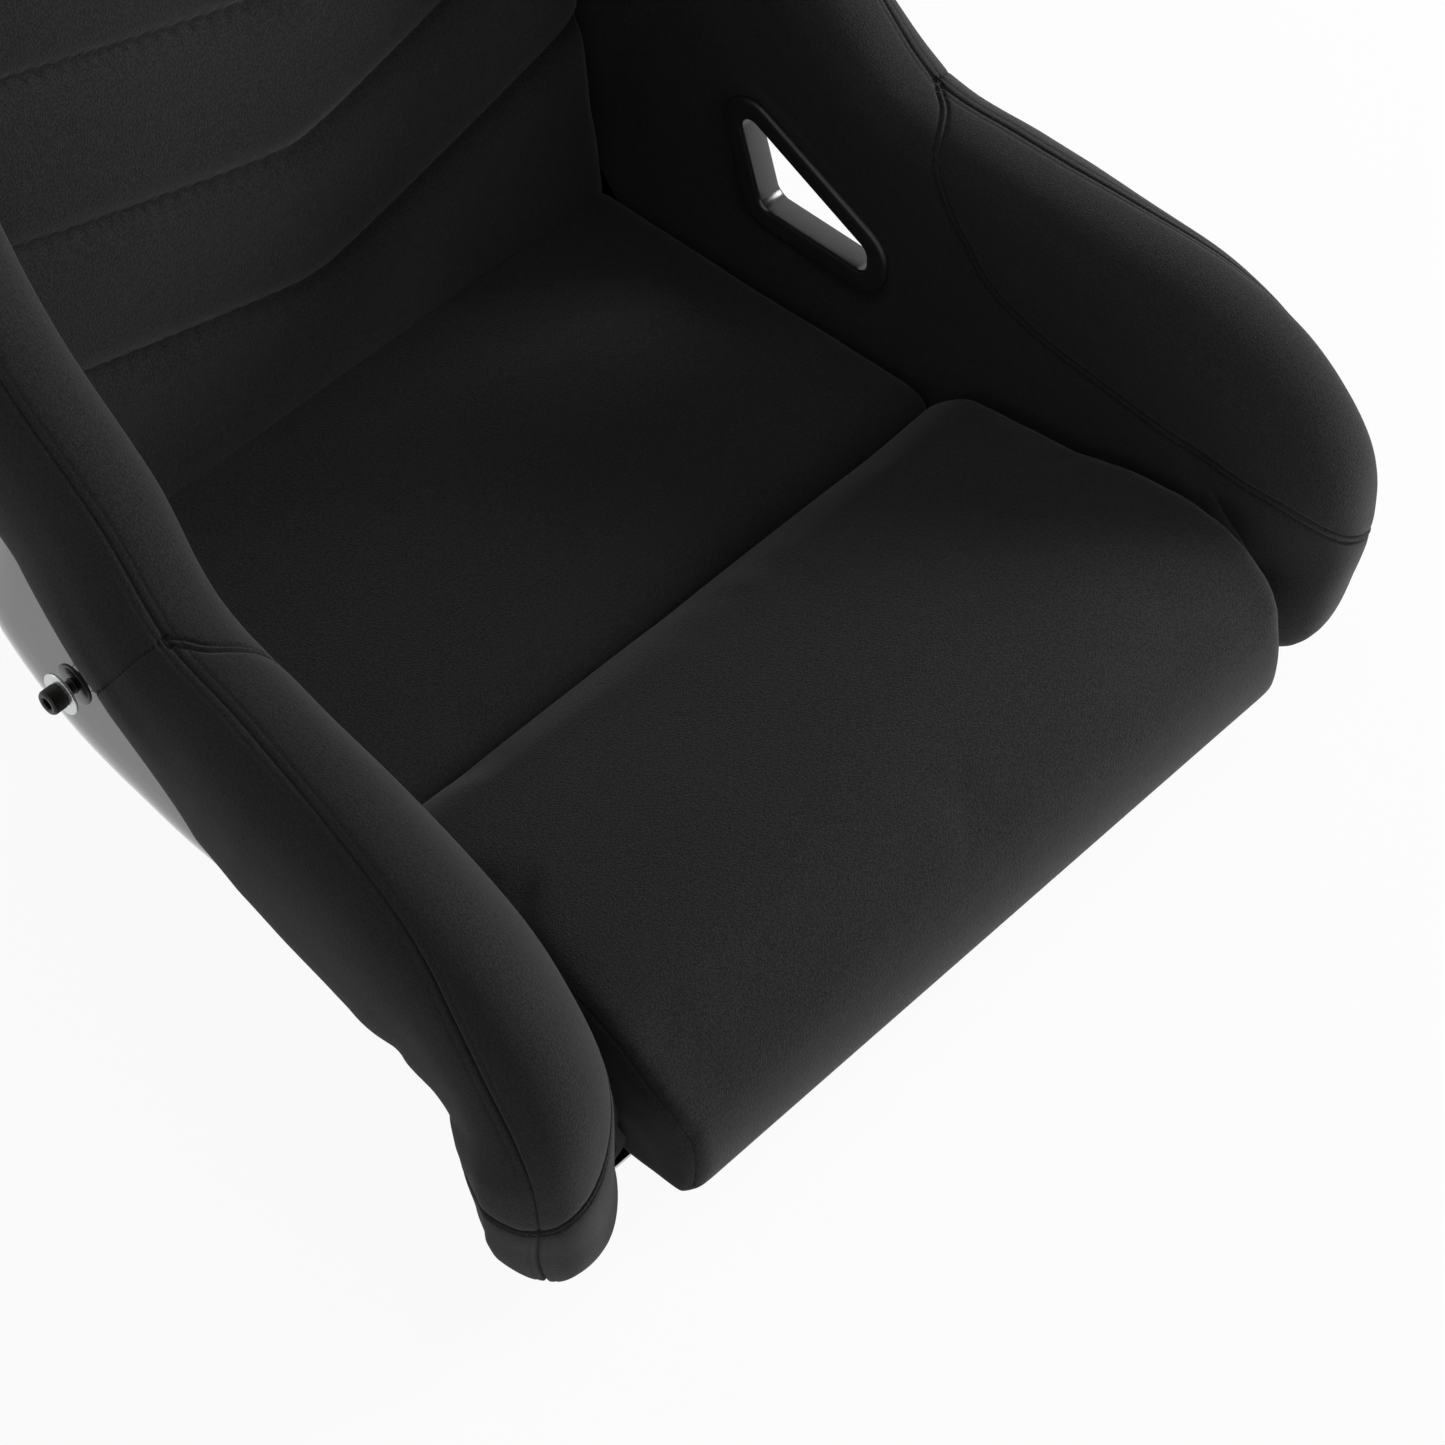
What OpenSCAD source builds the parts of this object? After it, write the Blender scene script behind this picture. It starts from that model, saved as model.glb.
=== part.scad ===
// Fixed-back bucket seat with a moulded laminate shell and padded bolsters.
// Millimetres. +Z is up, -Y is the way the driver faces, and z = 0 is the shell's flat underside.

/* [Shell side view] */
// Front lip of the pan along Y
lip_y = -218; // [-240:1:-200]
// Height of the underside at the front lip
lip_z = 25.5; // [15:0.5:40]
// How sharply the pan ramps up towards its lip
ramp_power = 1.45; // [1:0.05:2.5]
// Front end of the flat underside along Y
flat_front_y = -130; // [-170:1:-60]
// Rear end of the flat underside along Y
flat_rear_y = 100; // [60:1:140]
// Radius of the bend from the pan into the back
hip_r = 130; // [100:1:160]
// Lean of the back from upright, degrees
back_lean = 7; // [3:0.5:12]
// Extra backward bow of the back at its top edge
back_bow = 30; // [0:1:60]
// Height of the back's top edge
top_z = 868; // [780:1:940]

/* [Shell section] */
// Thickness of the laminate
shell_t = 4.5; // [3:0.5:7]
// Half the width across the two side mounting faces
flank_x = 220; // [205:1:240]
// Half width of the pan at its front lip
lip_half_w = 226; // [210:1:245]
// Half width across the back at the waist
waist_half_w = 208; // [195:1:225]
// Half width across the back at the shoulders
shoulder_half_w = 224; // [200:1:250]
// Half width across the back at the neck
neck_half_w = 138; // [110:1:170]
// Half width across the back at the head
head_half_w = 112; // [90:1:140]
// Half width of the top edge
crown_half_w = 58; // [40:1:80]
// Radius of the long lower corner at the front lip
corner_r_lip = 10; // [6:1:30]
// Radius of the long lower corner beside the thighs
corner_r_thigh = 15; // [8:1:40]
// Radius of the long corner around the hips and back
corner_r_hip = 60; // [30:1:80]

/* [Bolster ridge line, right-hand side: x, y, z] */
// Foot of the nose, where the roll ends under the lip
rl_foot = [252, -229, 8]; // [-400:1:1000]
// Lower nose
rl_low = [253, -244, 25]; // [-400:1:1000]
// Front of the nose
rl_front = [256, -249.5, 56]; // [-400:1:1000]
// Upper front of the nose
rl_nose = [261, -249.5, 95]; // [-400:1:1000]
// Brow of the nose
rl_brow = [260, -239, 140]; // [-400:1:1000]
// Front of the thigh bolster
rl_thigh_a = [257, -204, 180]; // [-400:1:1000]
// Thigh bolster above the front side bolt
rl_thigh_b = [251, -158, 202.5]; // [-400:1:1000]
// Middle of the thigh bolster
rl_thigh_c = [243, -100, 215.5]; // [-400:1:1000]
// Rear of the thigh bolster
rl_thigh_d = [238, -42.5, 224.5]; // [-400:1:1000]
// Step where the thigh bolster meets the torso wing
rl_step = [234, 8, 233.5]; // [-400:1:1000]
// Lower front of the torso wing
rl_hip_a = [229, 47, 272.5]; // [-400:1:1000]
// Hip of the torso wing
rl_hip_b = [228.5, 100, 320]; // [-400:1:1000]
// Waist of the torso wing
rl_waist = [228, 131.5, 367]; // [-400:1:1000]
// Lower ribs
rl_rib_a = [229, 147, 421]; // [-400:1:1000]
// Upper ribs
rl_rib_b = [236, 154, 481]; // [-400:1:1000]
// Chest
rl_chest = [250, 150, 550]; // [-400:1:1000]
// Front of the shoulder
rl_shoulder_a = [241, 163, 608]; // [-400:1:1000]
// Rear of the shoulder
rl_shoulder_b = [200, 206, 654]; // [-400:1:1000]
// Lower neck
rl_neck_a = [149, 246, 694]; // [-400:1:1000]
// Upper neck
rl_neck_b = [127, 261, 742]; // [-400:1:1000]
// Side of the head rest
rl_head_a = [124, 268, 792]; // [-400:1:1000]
// Top corner of the head rest
rl_head_b = [108, 296, 848]; // [-400:1:1000]
// Crown of the head rest
rl_crown = [62, 328, 884]; // [-400:1:1000]

/* [Bolster rolls] */
// Foam between the shell's rim and the top of a roll
roll_over = 21; // [12:1:30]
// Half thickness of a roll
roll_r = 28.5; // [20:0.5:34]
// Extra bulge of a roll's outer face
roll_belly = 2.5; // [0:0.5:8]
// Depth of the outer skirt beside the thighs
skirt_thigh = 90; // [60:1:110]
// Depth of the outer skirt at the step, above the belt opening
skirt_step = 60; // [40:1:66]
// Depth of the outer skirt on the torso wing
skirt_torso = 84; // [60:1:100]
// Depth of the outer skirt around the nose, in front of the side bolt
skirt_nose = 60; // [45:1:66]
// Depth of the outer skirt around the head
skirt_head = 56; // [40:1:70]
// Depth of a roll's inner face
inner_leg = 56; // [40:1:70]
// Depth of a roll's inner face above the belt opening
inner_leg_step = 42; // [30:1:55]
// Gap left between soft pieces and what they fit around
fit_gap = 0.3; // [0.1:0.1:1]

/* [Side liners] */
// Foam thickness of a side liner on the wall
liner_t = 12; // [6:1:18]
// Foam thickness of the torso liner
torso_liner_t = 10; // [6:1:14]
// Height where the liner starts to thicken towards the cushion
liner_swell_z = 150; // [120:1:180]
// Height where the liner meets the cushion's edge
liner_pad_z = 97; // [80:1:110]
// Height of the liner's lower edge
liner_low_z = 62; // [50:1:75]

/* [Cushions] */
// Half width of the rear cushion
rear_pad_half_w = 190; // [170:1:200]
// Rear face of the rear cushion along Y
rear_pad_back_y = 182; // [160:1:190]
// Height of the rear cushion at its rear edge
rear_pad_back_z = 90; // [75:1:110]
// Joint between the two cushions along Y
pad_joint_y = -46.5; // [-80:0.5:-10]
// Height of the rear cushion at that joint
pad_joint_z = 96.7; // [80:0.1:115]
// Depth of the rear cushion's fabric-covered top layer
rear_topper_t = 26; // [15:1:40]
// Half width of the rear cushion's foam core
rear_core_half_w = 168; // [140:1:175]
// Half width of the thigh cushion near its nose
thigh_pad_half_w = 208; // [190:1:215]
// Highest point of the thigh cushion
thigh_pad_top_z = 120.6; // [100:0.1:140]
// Front face of the thigh cushion along Y
thigh_pad_front_y = -258; // [-280:1:-245]
// Height of the thigh cushion's lower front edge
thigh_pad_low_z = 37; // [35:1:60]
// Thickness of the cover layer around the thigh cushion's core
thigh_cover_t = 9; // [4:1:15]
// Slack between a cushion and what is beside it
pad_slack = 0.4; // [0.2:0.1:1]
// Half width of the back pad
back_pad_half_w = 190; // [170:1:195]
// Front face of the back pad at its lower edge along Y
back_pad_low_y = 183; // [170:1:195]
// Front face of the back pad at the waist along Y
back_pad_waist_y = 196; // [185:1:210]
// Height of that waist point
back_pad_waist_z = 235.5; // [200:0.5:280]
// Lower edge of the back pad
back_pad_low_z = 96; // [92:1:110]
// Upper edge of the back pad
back_pad_top_z = 568; // [500:1:590]
// Thickness of the back pad's top end
back_pad_top_t = 30; // [20:1:40]
// Depth of the back pad's fabric-covered front layer
back_topper_t = 14; // [8:1:20]
// Lower edge of the head pad
head_pad_low_z = 716; // [700:1:740]
// Upper edge of the head pad
head_pad_top_z = 838; // [800:1:850]
// Half width of the head pad
head_pad_half_w = 78; // [60:1:90]
// Thickness of the head pad
head_pad_t = 26; // [20:1:45]
// Thickness of a hook strip and of a loop strip
strip_t = 1.2; // [0.8:0.1:2]
// Width of a hook or loop strip
strip_w = 40; // [20:1:60]

/* [Belt openings] */
// Upper rear corner of the lap belt opening [y, z]
lap_top = [101, 189]; // [-50:0.5:250]
// Lower rear corner of the lap belt opening [y, z]
lap_rear = [83, 130]; // [-50:0.5:250]
// Lower front corner of the lap belt opening [y, z]
lap_front = [12.4, 130]; // [-50:0.5:250]
// Upper front corner of the lap belt opening [y, z]
lap_nose = [12.4, 146]; // [-50:0.5:250]
// Corner radius of the lap belt opening
lap_r = 7; // [3:0.5:7.5]
// Inner face of the lap belt bezel along X
lap_face_x = 202; // [200:0.5:204]
// Width of the bezel's flange
lap_flange = 12; // [8:1:13]
// Thickness of a bezel's flange
flange_t = 2.5; // [1.5:0.5:4]
// Wall of a bezel's sleeve
sleeve_t = 2; // [1.5:0.5:3]
// How far a bezel's snap bead stands out from its sleeve
bead_out = 2.2; // [1:0.1:3]
// Width of a shoulder belt opening
belt_w = 62; // [55:1:66]
// Height of a shoulder belt opening
belt_h = 42; // [30:1:50]
// Distance of a shoulder belt opening's centre from the middle
belt_x = 61; // [58:1:64]
// Height of a shoulder belt opening's centre
belt_z = 652; // [640:1:665]
// Corner radius of a shoulder belt opening
belt_r = 12; // [5:1:18]

/* [Side mounting] */
// Height of the side bolts
bolt_z = 98; // [70:0.5:105]
// Rear side bolt along Y
bolt_rear_y = 116; // [80:0.1:125]
// Distance between the front and rear side bolts
bolt_pitch_y = 290; // [270:1:295]
// Thread diameter of a side bolt
bolt_d = 8; // [6:1:10]
// Length of a side bolt under its head
bolt_len = 20; // [16:1:24]
// Diameter of a side bolt's head
head_d = 13; // [10:0.5:16]
// Height of a side bolt's head
head_h = 8; // [6:0.5:10]
// Hexagon socket across its flats
socket_af = 6; // [4:1:8]
// Depth of the hexagon socket
socket_depth = 4.5; // [3:0.5:6]
// Diameter of the bright flat washer
flat_washer_d = 22.5; // [18:0.5:28]
// Diameter of the black washer
black_washer_d = 22.5; // [18:0.5:28]
// Thickness of the bright flat washer
flat_washer_t = 1.6; // [1:0.1:2.5]
// Thickness of the black washer
black_washer_t = 2.5; // [2:0.5:5]
// Space between the flank and the black washer
gap_inner = 3.5; // [2:0.5:8]
// Space between the black washer and the flat washer, for a bracket
gap_outer = 6; // [3:0.1:7]
// Radial clearance of a bolt in its insert
thread_fit = 0.05; // [0.02:0.01:0.1]
// Radial clearance of a washer on a bolt
washer_fit = 0.06; // [0.03:0.01:0.1]
// Outside diameter of an insert's barrel
insert_d = 14; // [12:0.5:18]
// Diameter of an insert's flange
insert_flange_d = 32; // [24:1:40]
// Thickness of an insert's flange
insert_flange_t = 2.5; // [2:0.5:4]
// Depth of an insert's barrel from the flank's outer face
insert_len = 14; // [10:1:15]

/* [Hidden] */
$fn = 48;

// ---- curves shared by every piece -------------------------------------------------

function cubic(a, b, c, d, t) =
  0.5 * (2 * b + (c - a) * t + (2 * a - 5 * b + 4 * c - d) * t * t + (3 * b - a - 3 * c + d) * t * t * t);
function clamp(v, lo, hi) = min(max(v, lo), hi);
function along(v, s) =
  let (n = len(v) - 1, q = clamp(s, 0, n), i = min(floor(q), n - 1), t = q - i)
  cubic(v[max(i - 1, 0)], v[i], v[i + 1], v[min(i + 2, n)], t);
function ease(t) = let (q = clamp(t, 0, 1)) q * q * (3 - 2 * q);
function eased(v, s) =
  let (n = len(v) - 1, q = clamp(s, 0, n), i = min(floor(q), n - 1))
  v[i] + (v[i + 1] - v[i]) * ease(q - i);
function unit(v) = v / norm(v);

hip_end_y = flat_rear_y + hip_r * cos(back_lean);
hip_end_z = hip_r * (1 - sin(back_lean));
function pan(y) =
  [y, y < flat_front_y ? lip_z * pow((flat_front_y - y) / (flat_front_y - lip_y), ramp_power) : 0];
function hip(a) = [flat_rear_y + hip_r * sin(a), hip_r * (1 - cos(a))];
function back_y(z) =
  hip_end_y + tan(back_lean) * (z - hip_end_z) + back_bow * pow((z - hip_end_z) / (top_z - hip_end_z), 2);
function back(z) = [back_y(z), z];
function up(f) = hip_end_z + f * (top_z - hip_end_z);

// Stations run from the foot of the nose to the crown.
ridge = [
  rl_foot, rl_low, rl_front, rl_nose, rl_brow, rl_thigh_a, rl_thigh_b, rl_thigh_c, rl_thigh_d,
  rl_step, rl_hip_a, rl_hip_b, rl_waist, rl_rib_a, rl_rib_b, rl_chest, rl_shoulder_a,
  rl_shoulder_b, rl_neck_a, rl_neck_b, rl_head_a, rl_head_b, rl_crown
];
st_lip = 2;
st_step = 9;
st_waist = 12;
st_chest = 15;
st_neck = 19;
st_crown = 22;
base = [
  pan(lip_y), pan(lip_y), pan(lip_y), pan(lip_y + 5), pan(lip_y + 15), pan(lip_y + 36), pan(lip_y + 69),
  pan(flat_front_y + 35), pan(flat_rear_y - 130), pan(flat_rear_y - 50), hip(12), hip(45),
  hip(90 - back_lean), back(up(0.115)), back(up(0.233)), back(up(0.366)), back(up(0.485)),
  back(up(0.59)), back(up(0.684)), back(up(0.777)), back(up(0.87)), back(up(0.968)), back(top_z)
];
half_w = [
  lip_half_w, lip_half_w, lip_half_w, lip_half_w - 3, flank_x + 1, flank_x, flank_x, flank_x, flank_x,
  flank_x, flank_x, flank_x, waist_half_w, waist_half_w, waist_half_w + 2, shoulder_half_w - 8,
  shoulder_half_w, shoulder_half_w - 34, neck_half_w, head_half_w + 6, head_half_w, head_half_w - 14,
  crown_half_w
];
corner = [
  corner_r_lip, corner_r_lip, corner_r_lip, corner_r_lip + 1, corner_r_lip + 2, corner_r_thigh - 2,
  corner_r_thigh, corner_r_thigh + 5, corner_r_hip - 32, corner_r_hip - 18, corner_r_hip - 5,
  corner_r_hip, corner_r_hip, corner_r_hip, corner_r_hip, corner_r_hip, corner_r_hip,
  corner_r_hip - 5, corner_r_hip - 15, corner_r_hip - 20, corner_r_hip - 22, corner_r_hip - 26,
  corner_r_hip - 40
];
// Share of the wall's height that stays straight before it flares out to the rim.
straight = [
  0.5, 0.5, 0.5, 0.5, 0.6, 0.72, 0.74, 0.72, 0.75, 0.78, 0.72, 0.5, 0.3, 0.2, 0.2, 0.2, 0.2, 0.2,
  0.2, 0.2, 0.2, 0.2, 0.2
];
skirt = [
  skirt_nose - 22, skirt_nose - 14, skirt_nose - 4, skirt_nose - 2, skirt_nose + 4, skirt_thigh - 10,
  skirt_thigh - 2, skirt_thigh, skirt_thigh - 6, skirt_step, skirt_step + 10, skirt_torso - 6,
  skirt_torso, skirt_torso, skirt_torso, skirt_torso, skirt_torso - 4, skirt_torso - 14,
  skirt_head + 4, skirt_head + 2, skirt_head, skirt_head - 4, skirt_head - 8
];
leg = [
  inner_leg - 24, inner_leg - 20, inner_leg - 14, inner_leg - 8, inner_leg - 6, inner_leg - 4, inner_leg,
  inner_leg, inner_leg - 4, inner_leg_step, inner_leg_step + 2, inner_leg - 6, inner_leg, inner_leg,
  inner_leg, inner_leg, inner_leg, inner_leg - 6, inner_leg - 10, inner_leg - 10, inner_leg - 10,
  inner_leg - 12, inner_leg - 14
];

// How far the outer skirt curls back to the wall, instead of hanging straight.
tuck = [1, 1, 1, 1, 0.9, 0.5, 0.15, 0, 0, 0, 0, 0, 0, 0, 0, 0, 0, 0.2, 0.4, 0.5, 0.5, 0.5, 0.5];

// The roll narrows to a rounded end at the foot of the nose.
girth = [0.66, 1.02, 1.12, 1.07, 1.01, 1, 1, 1, 1, 1, 1, 1, 1, 1, 1, 1, 1, 1, 1, 1, 1, 1, 1];

function ridge_at(s) = along(ridge, s);
// Unit direction from the ridge into the wall, square to the ridge in side view.
function inward(s) =
  let (a = ridge_at(clamp(s - 0.06, 0, st_crown)), b = ridge_at(clamp(s + 0.06, 0, st_crown)))
  unit([0, b[2] - a[2], a[1] - b[1]]);
function rim_at(s) = let (e = ridge_at(s), d = inward(s)) [e[1] + roll_over * d[1], e[2] + roll_over * d[2]];
function base_at(s) = let (v = along(base, s)) [v[0], max(v[1], 0)];
// Stretch of an offset along a section's plane that gives the same depth square to the base line.
function slant(s) =
  let (
    a = base_at(clamp(s - 0.1, 0, st_crown)), b = base_at(clamp(s + 0.1, st_lip + 0.1, st_crown)),
    e = unit(rim_at(s) - base_at(s)), run = norm(b - a), t = run < 0.01 ? [1, 0] : (b - a) / run
  )
  1 / clamp(e * [-t[1], t[0]], 0.33, 1);

// One point of a shell section: x, height above the base line, and its outward normal.
function flare_x(s, f) =
  let (w = eased(half_w, s), r = ridge_at(s)[0] + shell_t / 2, g = eased(straight, s))
  w + (r - w) * pow(clamp((f - g) / (1 - g), 0, 1.3), 1.5);
function wall_point(s, h, tall, off) =
  let (x0 = flare_x(s, (h - 1) / tall), x1 = flare_x(s, (h + 1) / tall), n = unit([2, x0 - x1]))
  [flare_x(s, h / tall) - off * n[0], h - off * n[1]];
function half_section(s, off, ext) =
  let (
    tall = norm(rim_at(s) - base_at(s)), rc = min(eased(corner, s), 0.6 * tall), w = eased(half_w, s),
    k = slant(s)
  )
  concat(
    [for (q = [0, 0.5, 1]) [(w - rc) * q, off * k]],
    [for (a = [22.5 : 22.5 : 90]) [w - rc + (rc - off) * sin(a), rc * (1 - cos(a)) + off * k * cos(a)]],
    [for (q = [0.25, 0.5, 0.7, 0.85, 1]) wall_point(s, rc + (tall + ext - rc) * q, tall, off)]
  );
function place(s, p) =
  let (b = base_at(s), e = unit(rim_at(s) - b)) [p[0], b[0] + e[0] * p[1], b[1] + e[1] * p[1]];
function ring(s, off, ext) =
  let (h = half_section(s, off, ext), n = len(h))
  concat(
    [for (i = [n - 1 : -1 : 1]) place(s, [-h[i][0], h[i][1]])],
    [for (i = [0 : n - 1]) place(s, h[i])]
  );
function flip(v) = [for (i = [len(v) - 1 : -1 : 0]) v[i]];
function shell_loop(s, o1, o2, ext) = concat(ring(s, o1, ext), flip(ring(s, o2, ext)));

// Closed solid through equal loops of points; each loop is a strip folded back on itself.
// The two halves of a symmetric solid get mirrored triangles.
module skin(loops) {
  n = len(loops[0]);
  m = len(loops);
  h = n / 2;
  pts = [for (l = loops) for (p = l) p];
  sides = [
    for (i = [0 : m - 2]) for (j = [0 : n - 1])
      let (a = i * n + j, b = i * n + (j + 1) % n, c = (i + 1) * n + (j + 1) % n, d = (i + 1) * n + j)
      each pts[a][0] + pts[b][0] + pts[c][0] + pts[d][0] < 0 ? [[a, b, d], [b, c, d]] : [[a, b, c], [a, c, d]]
  ];
  caps = [
    for (j = [0 : h - 2])
      let (a = j, b = j + 1, c = n - 2 - j, d = n - 1 - j, k = (m - 1) * n)
      each [[a, c, b], [a, d, c], [k + a, k + b, k + c], [k + a, k + c, k + d]]
  ];
  polyhedron(points = pts, faces = concat(sides, caps), convexity = 8);
}

module wrap(step, c) {
  n = ceil((st_crown - st_lip) / step);
  front = [for (p = shell_loop(st_lip, -c, shell_t + c, c)) p - [0, c + 0.01, c / 2]];
  loops = [for (i = [0 : n]) shell_loop(st_lip + i * (st_crown - st_lip) / n, -c, shell_t + c, c)];
  skin(concat(c > 0 ? [front] : [], loops));
}

// Outline of a roll's section as [across, into the wall], from the inner leg over the top.
function roll_outline(s, g) =
  let (
    d = eased(skirt, s), k = eased(leg, s), r = roll_r * eased(girth, s), q = eased(tuck, s),
    h = min(d * 0.6, r * (1.75 - 0.45 * q)),
    m = eased(half_w, s) - ridge_at(s)[0] - shell_t / 2, belly = roll_belly * (1 - q)
  )
  [
    [-r - g, k + g], [-r - g, r * 0.95], [-r * 0.85 - g, r * 0.44 - g], [-r * 0.5 - g / 2, r * 0.11 - g],
    [0, -g], [r * 0.5 + g / 2, r * 0.11 - g], [r * 0.85 + g, r * 0.49 - g], [r + belly * 0.3 + g, r],
    [r * (1 - 0.06 * q) + belly + g, h], [r * (1 - 0.3 * q) + belly * 0.4 + g, h + (d - h) * 0.6],
    [r * (0.75 - 0.55 * q) + g, d + g], [r * (0.4 - 0.5 * q), d + 5 - 3 * q + g],
    [max(min(m, r * 0.2), -r * 0.7), d + 4 + g],
    [max(min(m - 2, 0) * 0.5 - r * 0.5, -r * 0.95) - g / 2, (d + k) / 2 + g]
  ];
function roll_loop(s, g) =
  let (e = ridge_at(s), d = inward(s))
  [for (p = roll_outline(s, g)) [e[0] + p[0], e[1] + d[1] * p[1], e[2] + d[2] * p[1]]];

// Swept solid through closed loops, with fan caps from each loop's middle.
module sweep(loops) {
  n = len(loops[0]);
  m = len(loops);
  mid = function (l) [for (k = [0 : 2]) let (v = [for (p = l) p[k]]) v * [for (i = v) 1 / n]];
  pts = concat([for (l = loops) for (p = l) p], [mid(loops[0]), mid(loops[m - 1])]);
  sides = [
    for (i = [0 : m - 2]) for (j = [0 : n - 1])
      let (a = i * n + j, b = i * n + (j + 1) % n, c = (i + 1) * n + (j + 1) % n, d = (i + 1) * n + j)
      each pts[a][0] + pts[b][0] + pts[c][0] + pts[d][0] < 0 ? [[a, d, b], [b, d, c]] : [[a, c, b], [a, d, c]]
  ];
  caps = [
    for (j = [0 : n - 1])
      let (q = (j + 1) % n, k = (m - 1) * n) each [[j, q, m * n], [k + q, k + j, m * n + 1]]
  ];
  polyhedron(points = pts, faces = concat(sides, caps), convexity = 8);
}

module roll_body(s0, s1, n, g) {
  sweep([for (i = [0 : n]) roll_loop(s0 + (s1 - s0) * i / n, g)]);
}
module both_sides(left) {
  if (left) mirror([1, 0, 0]) children();
  else children();
}

// ---- bolsters ----------------------------------------------------------------------

// A boolean of the free-form solids, made as one closed mesh.
module meshed() {
  resize([0, 0, 0]) children();
}
module roll(s0, s1, n) {
  meshed() difference() {
    roll_body(s0, s1, n, 0);
    wrap(0.5, fit_gap);
  }
}
module leg_bolster(left) {
  color([0.06, 0.06, 0.07]) both_sides(left) roll(0, st_step, 18);
}
module torso_wing(left) {
  color([0.06, 0.06, 0.07]) both_sides(left) roll(st_step + 0.012, st_chest, 12);
}
module shoulder_roll(left) {
  color([0.06, 0.06, 0.07]) both_sides(left) roll(st_chest + 0.01, st_neck - 0.01, 8);
}

// The roll turns over the crown: its section swings from sideways to front-and-back.
crown_turn = 24;
crown_y = rim_at(st_crown)[0];
crown_top = rim_at(st_crown)[1] + roll_over;
function crown_loop(a, g) =
  let (
    e = [rl_crown[0] - crown_turn * a / 90, rl_crown[1] + (crown_y - rl_crown[1]) * sin(a),
      rl_crown[2] + (crown_top - rl_crown[2]) * sin(a)],
    d = unit(inward(st_crown) * (1 - a / 90) + [0, 0.18, -1] * (a / 90)),
    q = [cos(a), sin(a), 0.18 * sin(a)],
    n = unit(q - d * (q * d))
  )
  [for (p = roll_outline(st_crown, g)) e + n * p[0] + d * p[1]];
module head_roll_body(g) {
  right = concat(
    [for (i = [0 : 6]) roll_loop(st_neck + i * (st_crown - st_neck) / 6, g)],
    [for (a = [30, 60, 90]) crown_loop(a, g)]
  );
  left = [for (l = flip(right)) [for (p = l) [-p[0], p[1], p[2]]]];
  sweep(concat(right, left));
}
module head_roll() {
  color([0.06, 0.06, 0.07]) meshed() difference() {
    head_roll_body(0);
    wrap(0.5, fit_gap);
  }
}

// ---- shell --------------------------------------------------------------------------

function corner_arc(p, q, r, rad, n) =
  let (u = unit(p - q), v = unit(r - q), b = unit(u + v), h = acos(u * v) / 2,
    c = q + b * rad / sin(h), a0 = atan2(-v[0], v[1]), turn = 180 - 2 * h)
  [for (i = [0 : n]) let (m = c - b * rad, w = (i / n - 0.5) * turn, k = m - c)
    c + [k[0] * cos(w) - k[1] * sin(w), k[0] * sin(w) + k[1] * cos(w)]];
// The lap belt opening's outline, grown by g, corners given anticlockwise from above.
lap_corners = [lap_top, lap_nose, lap_front, lap_rear];
function grown(v, g) =
  let (n = len(v))
  [for (i = [0 : n - 1])
    let (p = v[(i + n - 1) % n], q = v[i], r = v[(i + 1) % n], a = unit(q - p), b = unit(r - q),
      na = [-a[1], a[0]], nb = [-b[1], b[0]])
    q + (na + nb) * (g / (1 + na * nb))];
function rounded(v, rad) =
  let (n = len(v))
  [for (i = [0 : n - 1]) each corner_arc(v[(i + n - 1) % n], v[i], v[(i + 1) % n], rad, 6)];
module lap_prism(g, x0, x1) {
  translate([x0, 0, 0]) rotate([90, 0, 90]) linear_extrude(height = x1 - x0)
    polygon(rounded(grown(lap_corners, -g), lap_r + g));
}

belt_tilt = atan(tan(back_lean) + 2 * back_bow * (belt_z - hip_end_z) / pow(top_z - hip_end_z, 2));
// Local frame of a shoulder opening: z points forward out of the back.
module at_belt(side) {
  translate([side * belt_x, back_y(belt_z), belt_z]) rotate([90 - belt_tilt, 0, 0]) children();
}
module belt_prism(g, z0, z1) {
  w = belt_w / 2 + g;
  h = belt_h / 2 + g;
  translate([0, 0, z0]) linear_extrude(height = z1 - z0)
    polygon(rounded([[-w, h], [-w, -h], [w, -h], [w, h]], belt_r + g));
}

// Local frame of a side bolt: z points out of the flank.
module at_bolt(side, y) {
  translate([side * flank_x, y, bolt_z]) rotate([0, side * 90, 0]) children();
}
bolt_front_y = bolt_rear_y - bolt_pitch_y;
module at_all_bolts() {
  for (side = [1, -1]) {
    at_bolt(side, bolt_rear_y) children();
    at_bolt(side, bolt_front_y) children();
  }
}

module shell() {
  color([0.3, 0.3, 0.31]) meshed() difference() {
    wrap(0.5, 0);
    lap_prism(sleeve_t + bead_out + 0.4, flank_x - 40, flank_x + 20);
    mirror([1, 0, 0]) lap_prism(sleeve_t + bead_out + 0.4, flank_x - 40, flank_x + 20);
    at_belt(1) belt_prism(sleeve_t + 0.4, -30, 40);
    at_belt(-1) belt_prism(sleeve_t + 0.4, -30, 40);
    at_all_bolts() translate([0, 0, -20]) cylinder(d = insert_d + 0.6, h = 40, $fn = 32);
  }
}

// ---- liners -------------------------------------------------------------------------

pad_nose_y = thigh_pad_front_y + 22;
function pad_half(y) =
  let (f = clamp((pad_joint_y - y) / (pad_joint_y - pad_nose_y), 0, 1))
  rear_pad_half_w + (thigh_pad_half_w - rear_pad_half_w) * f;
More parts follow.
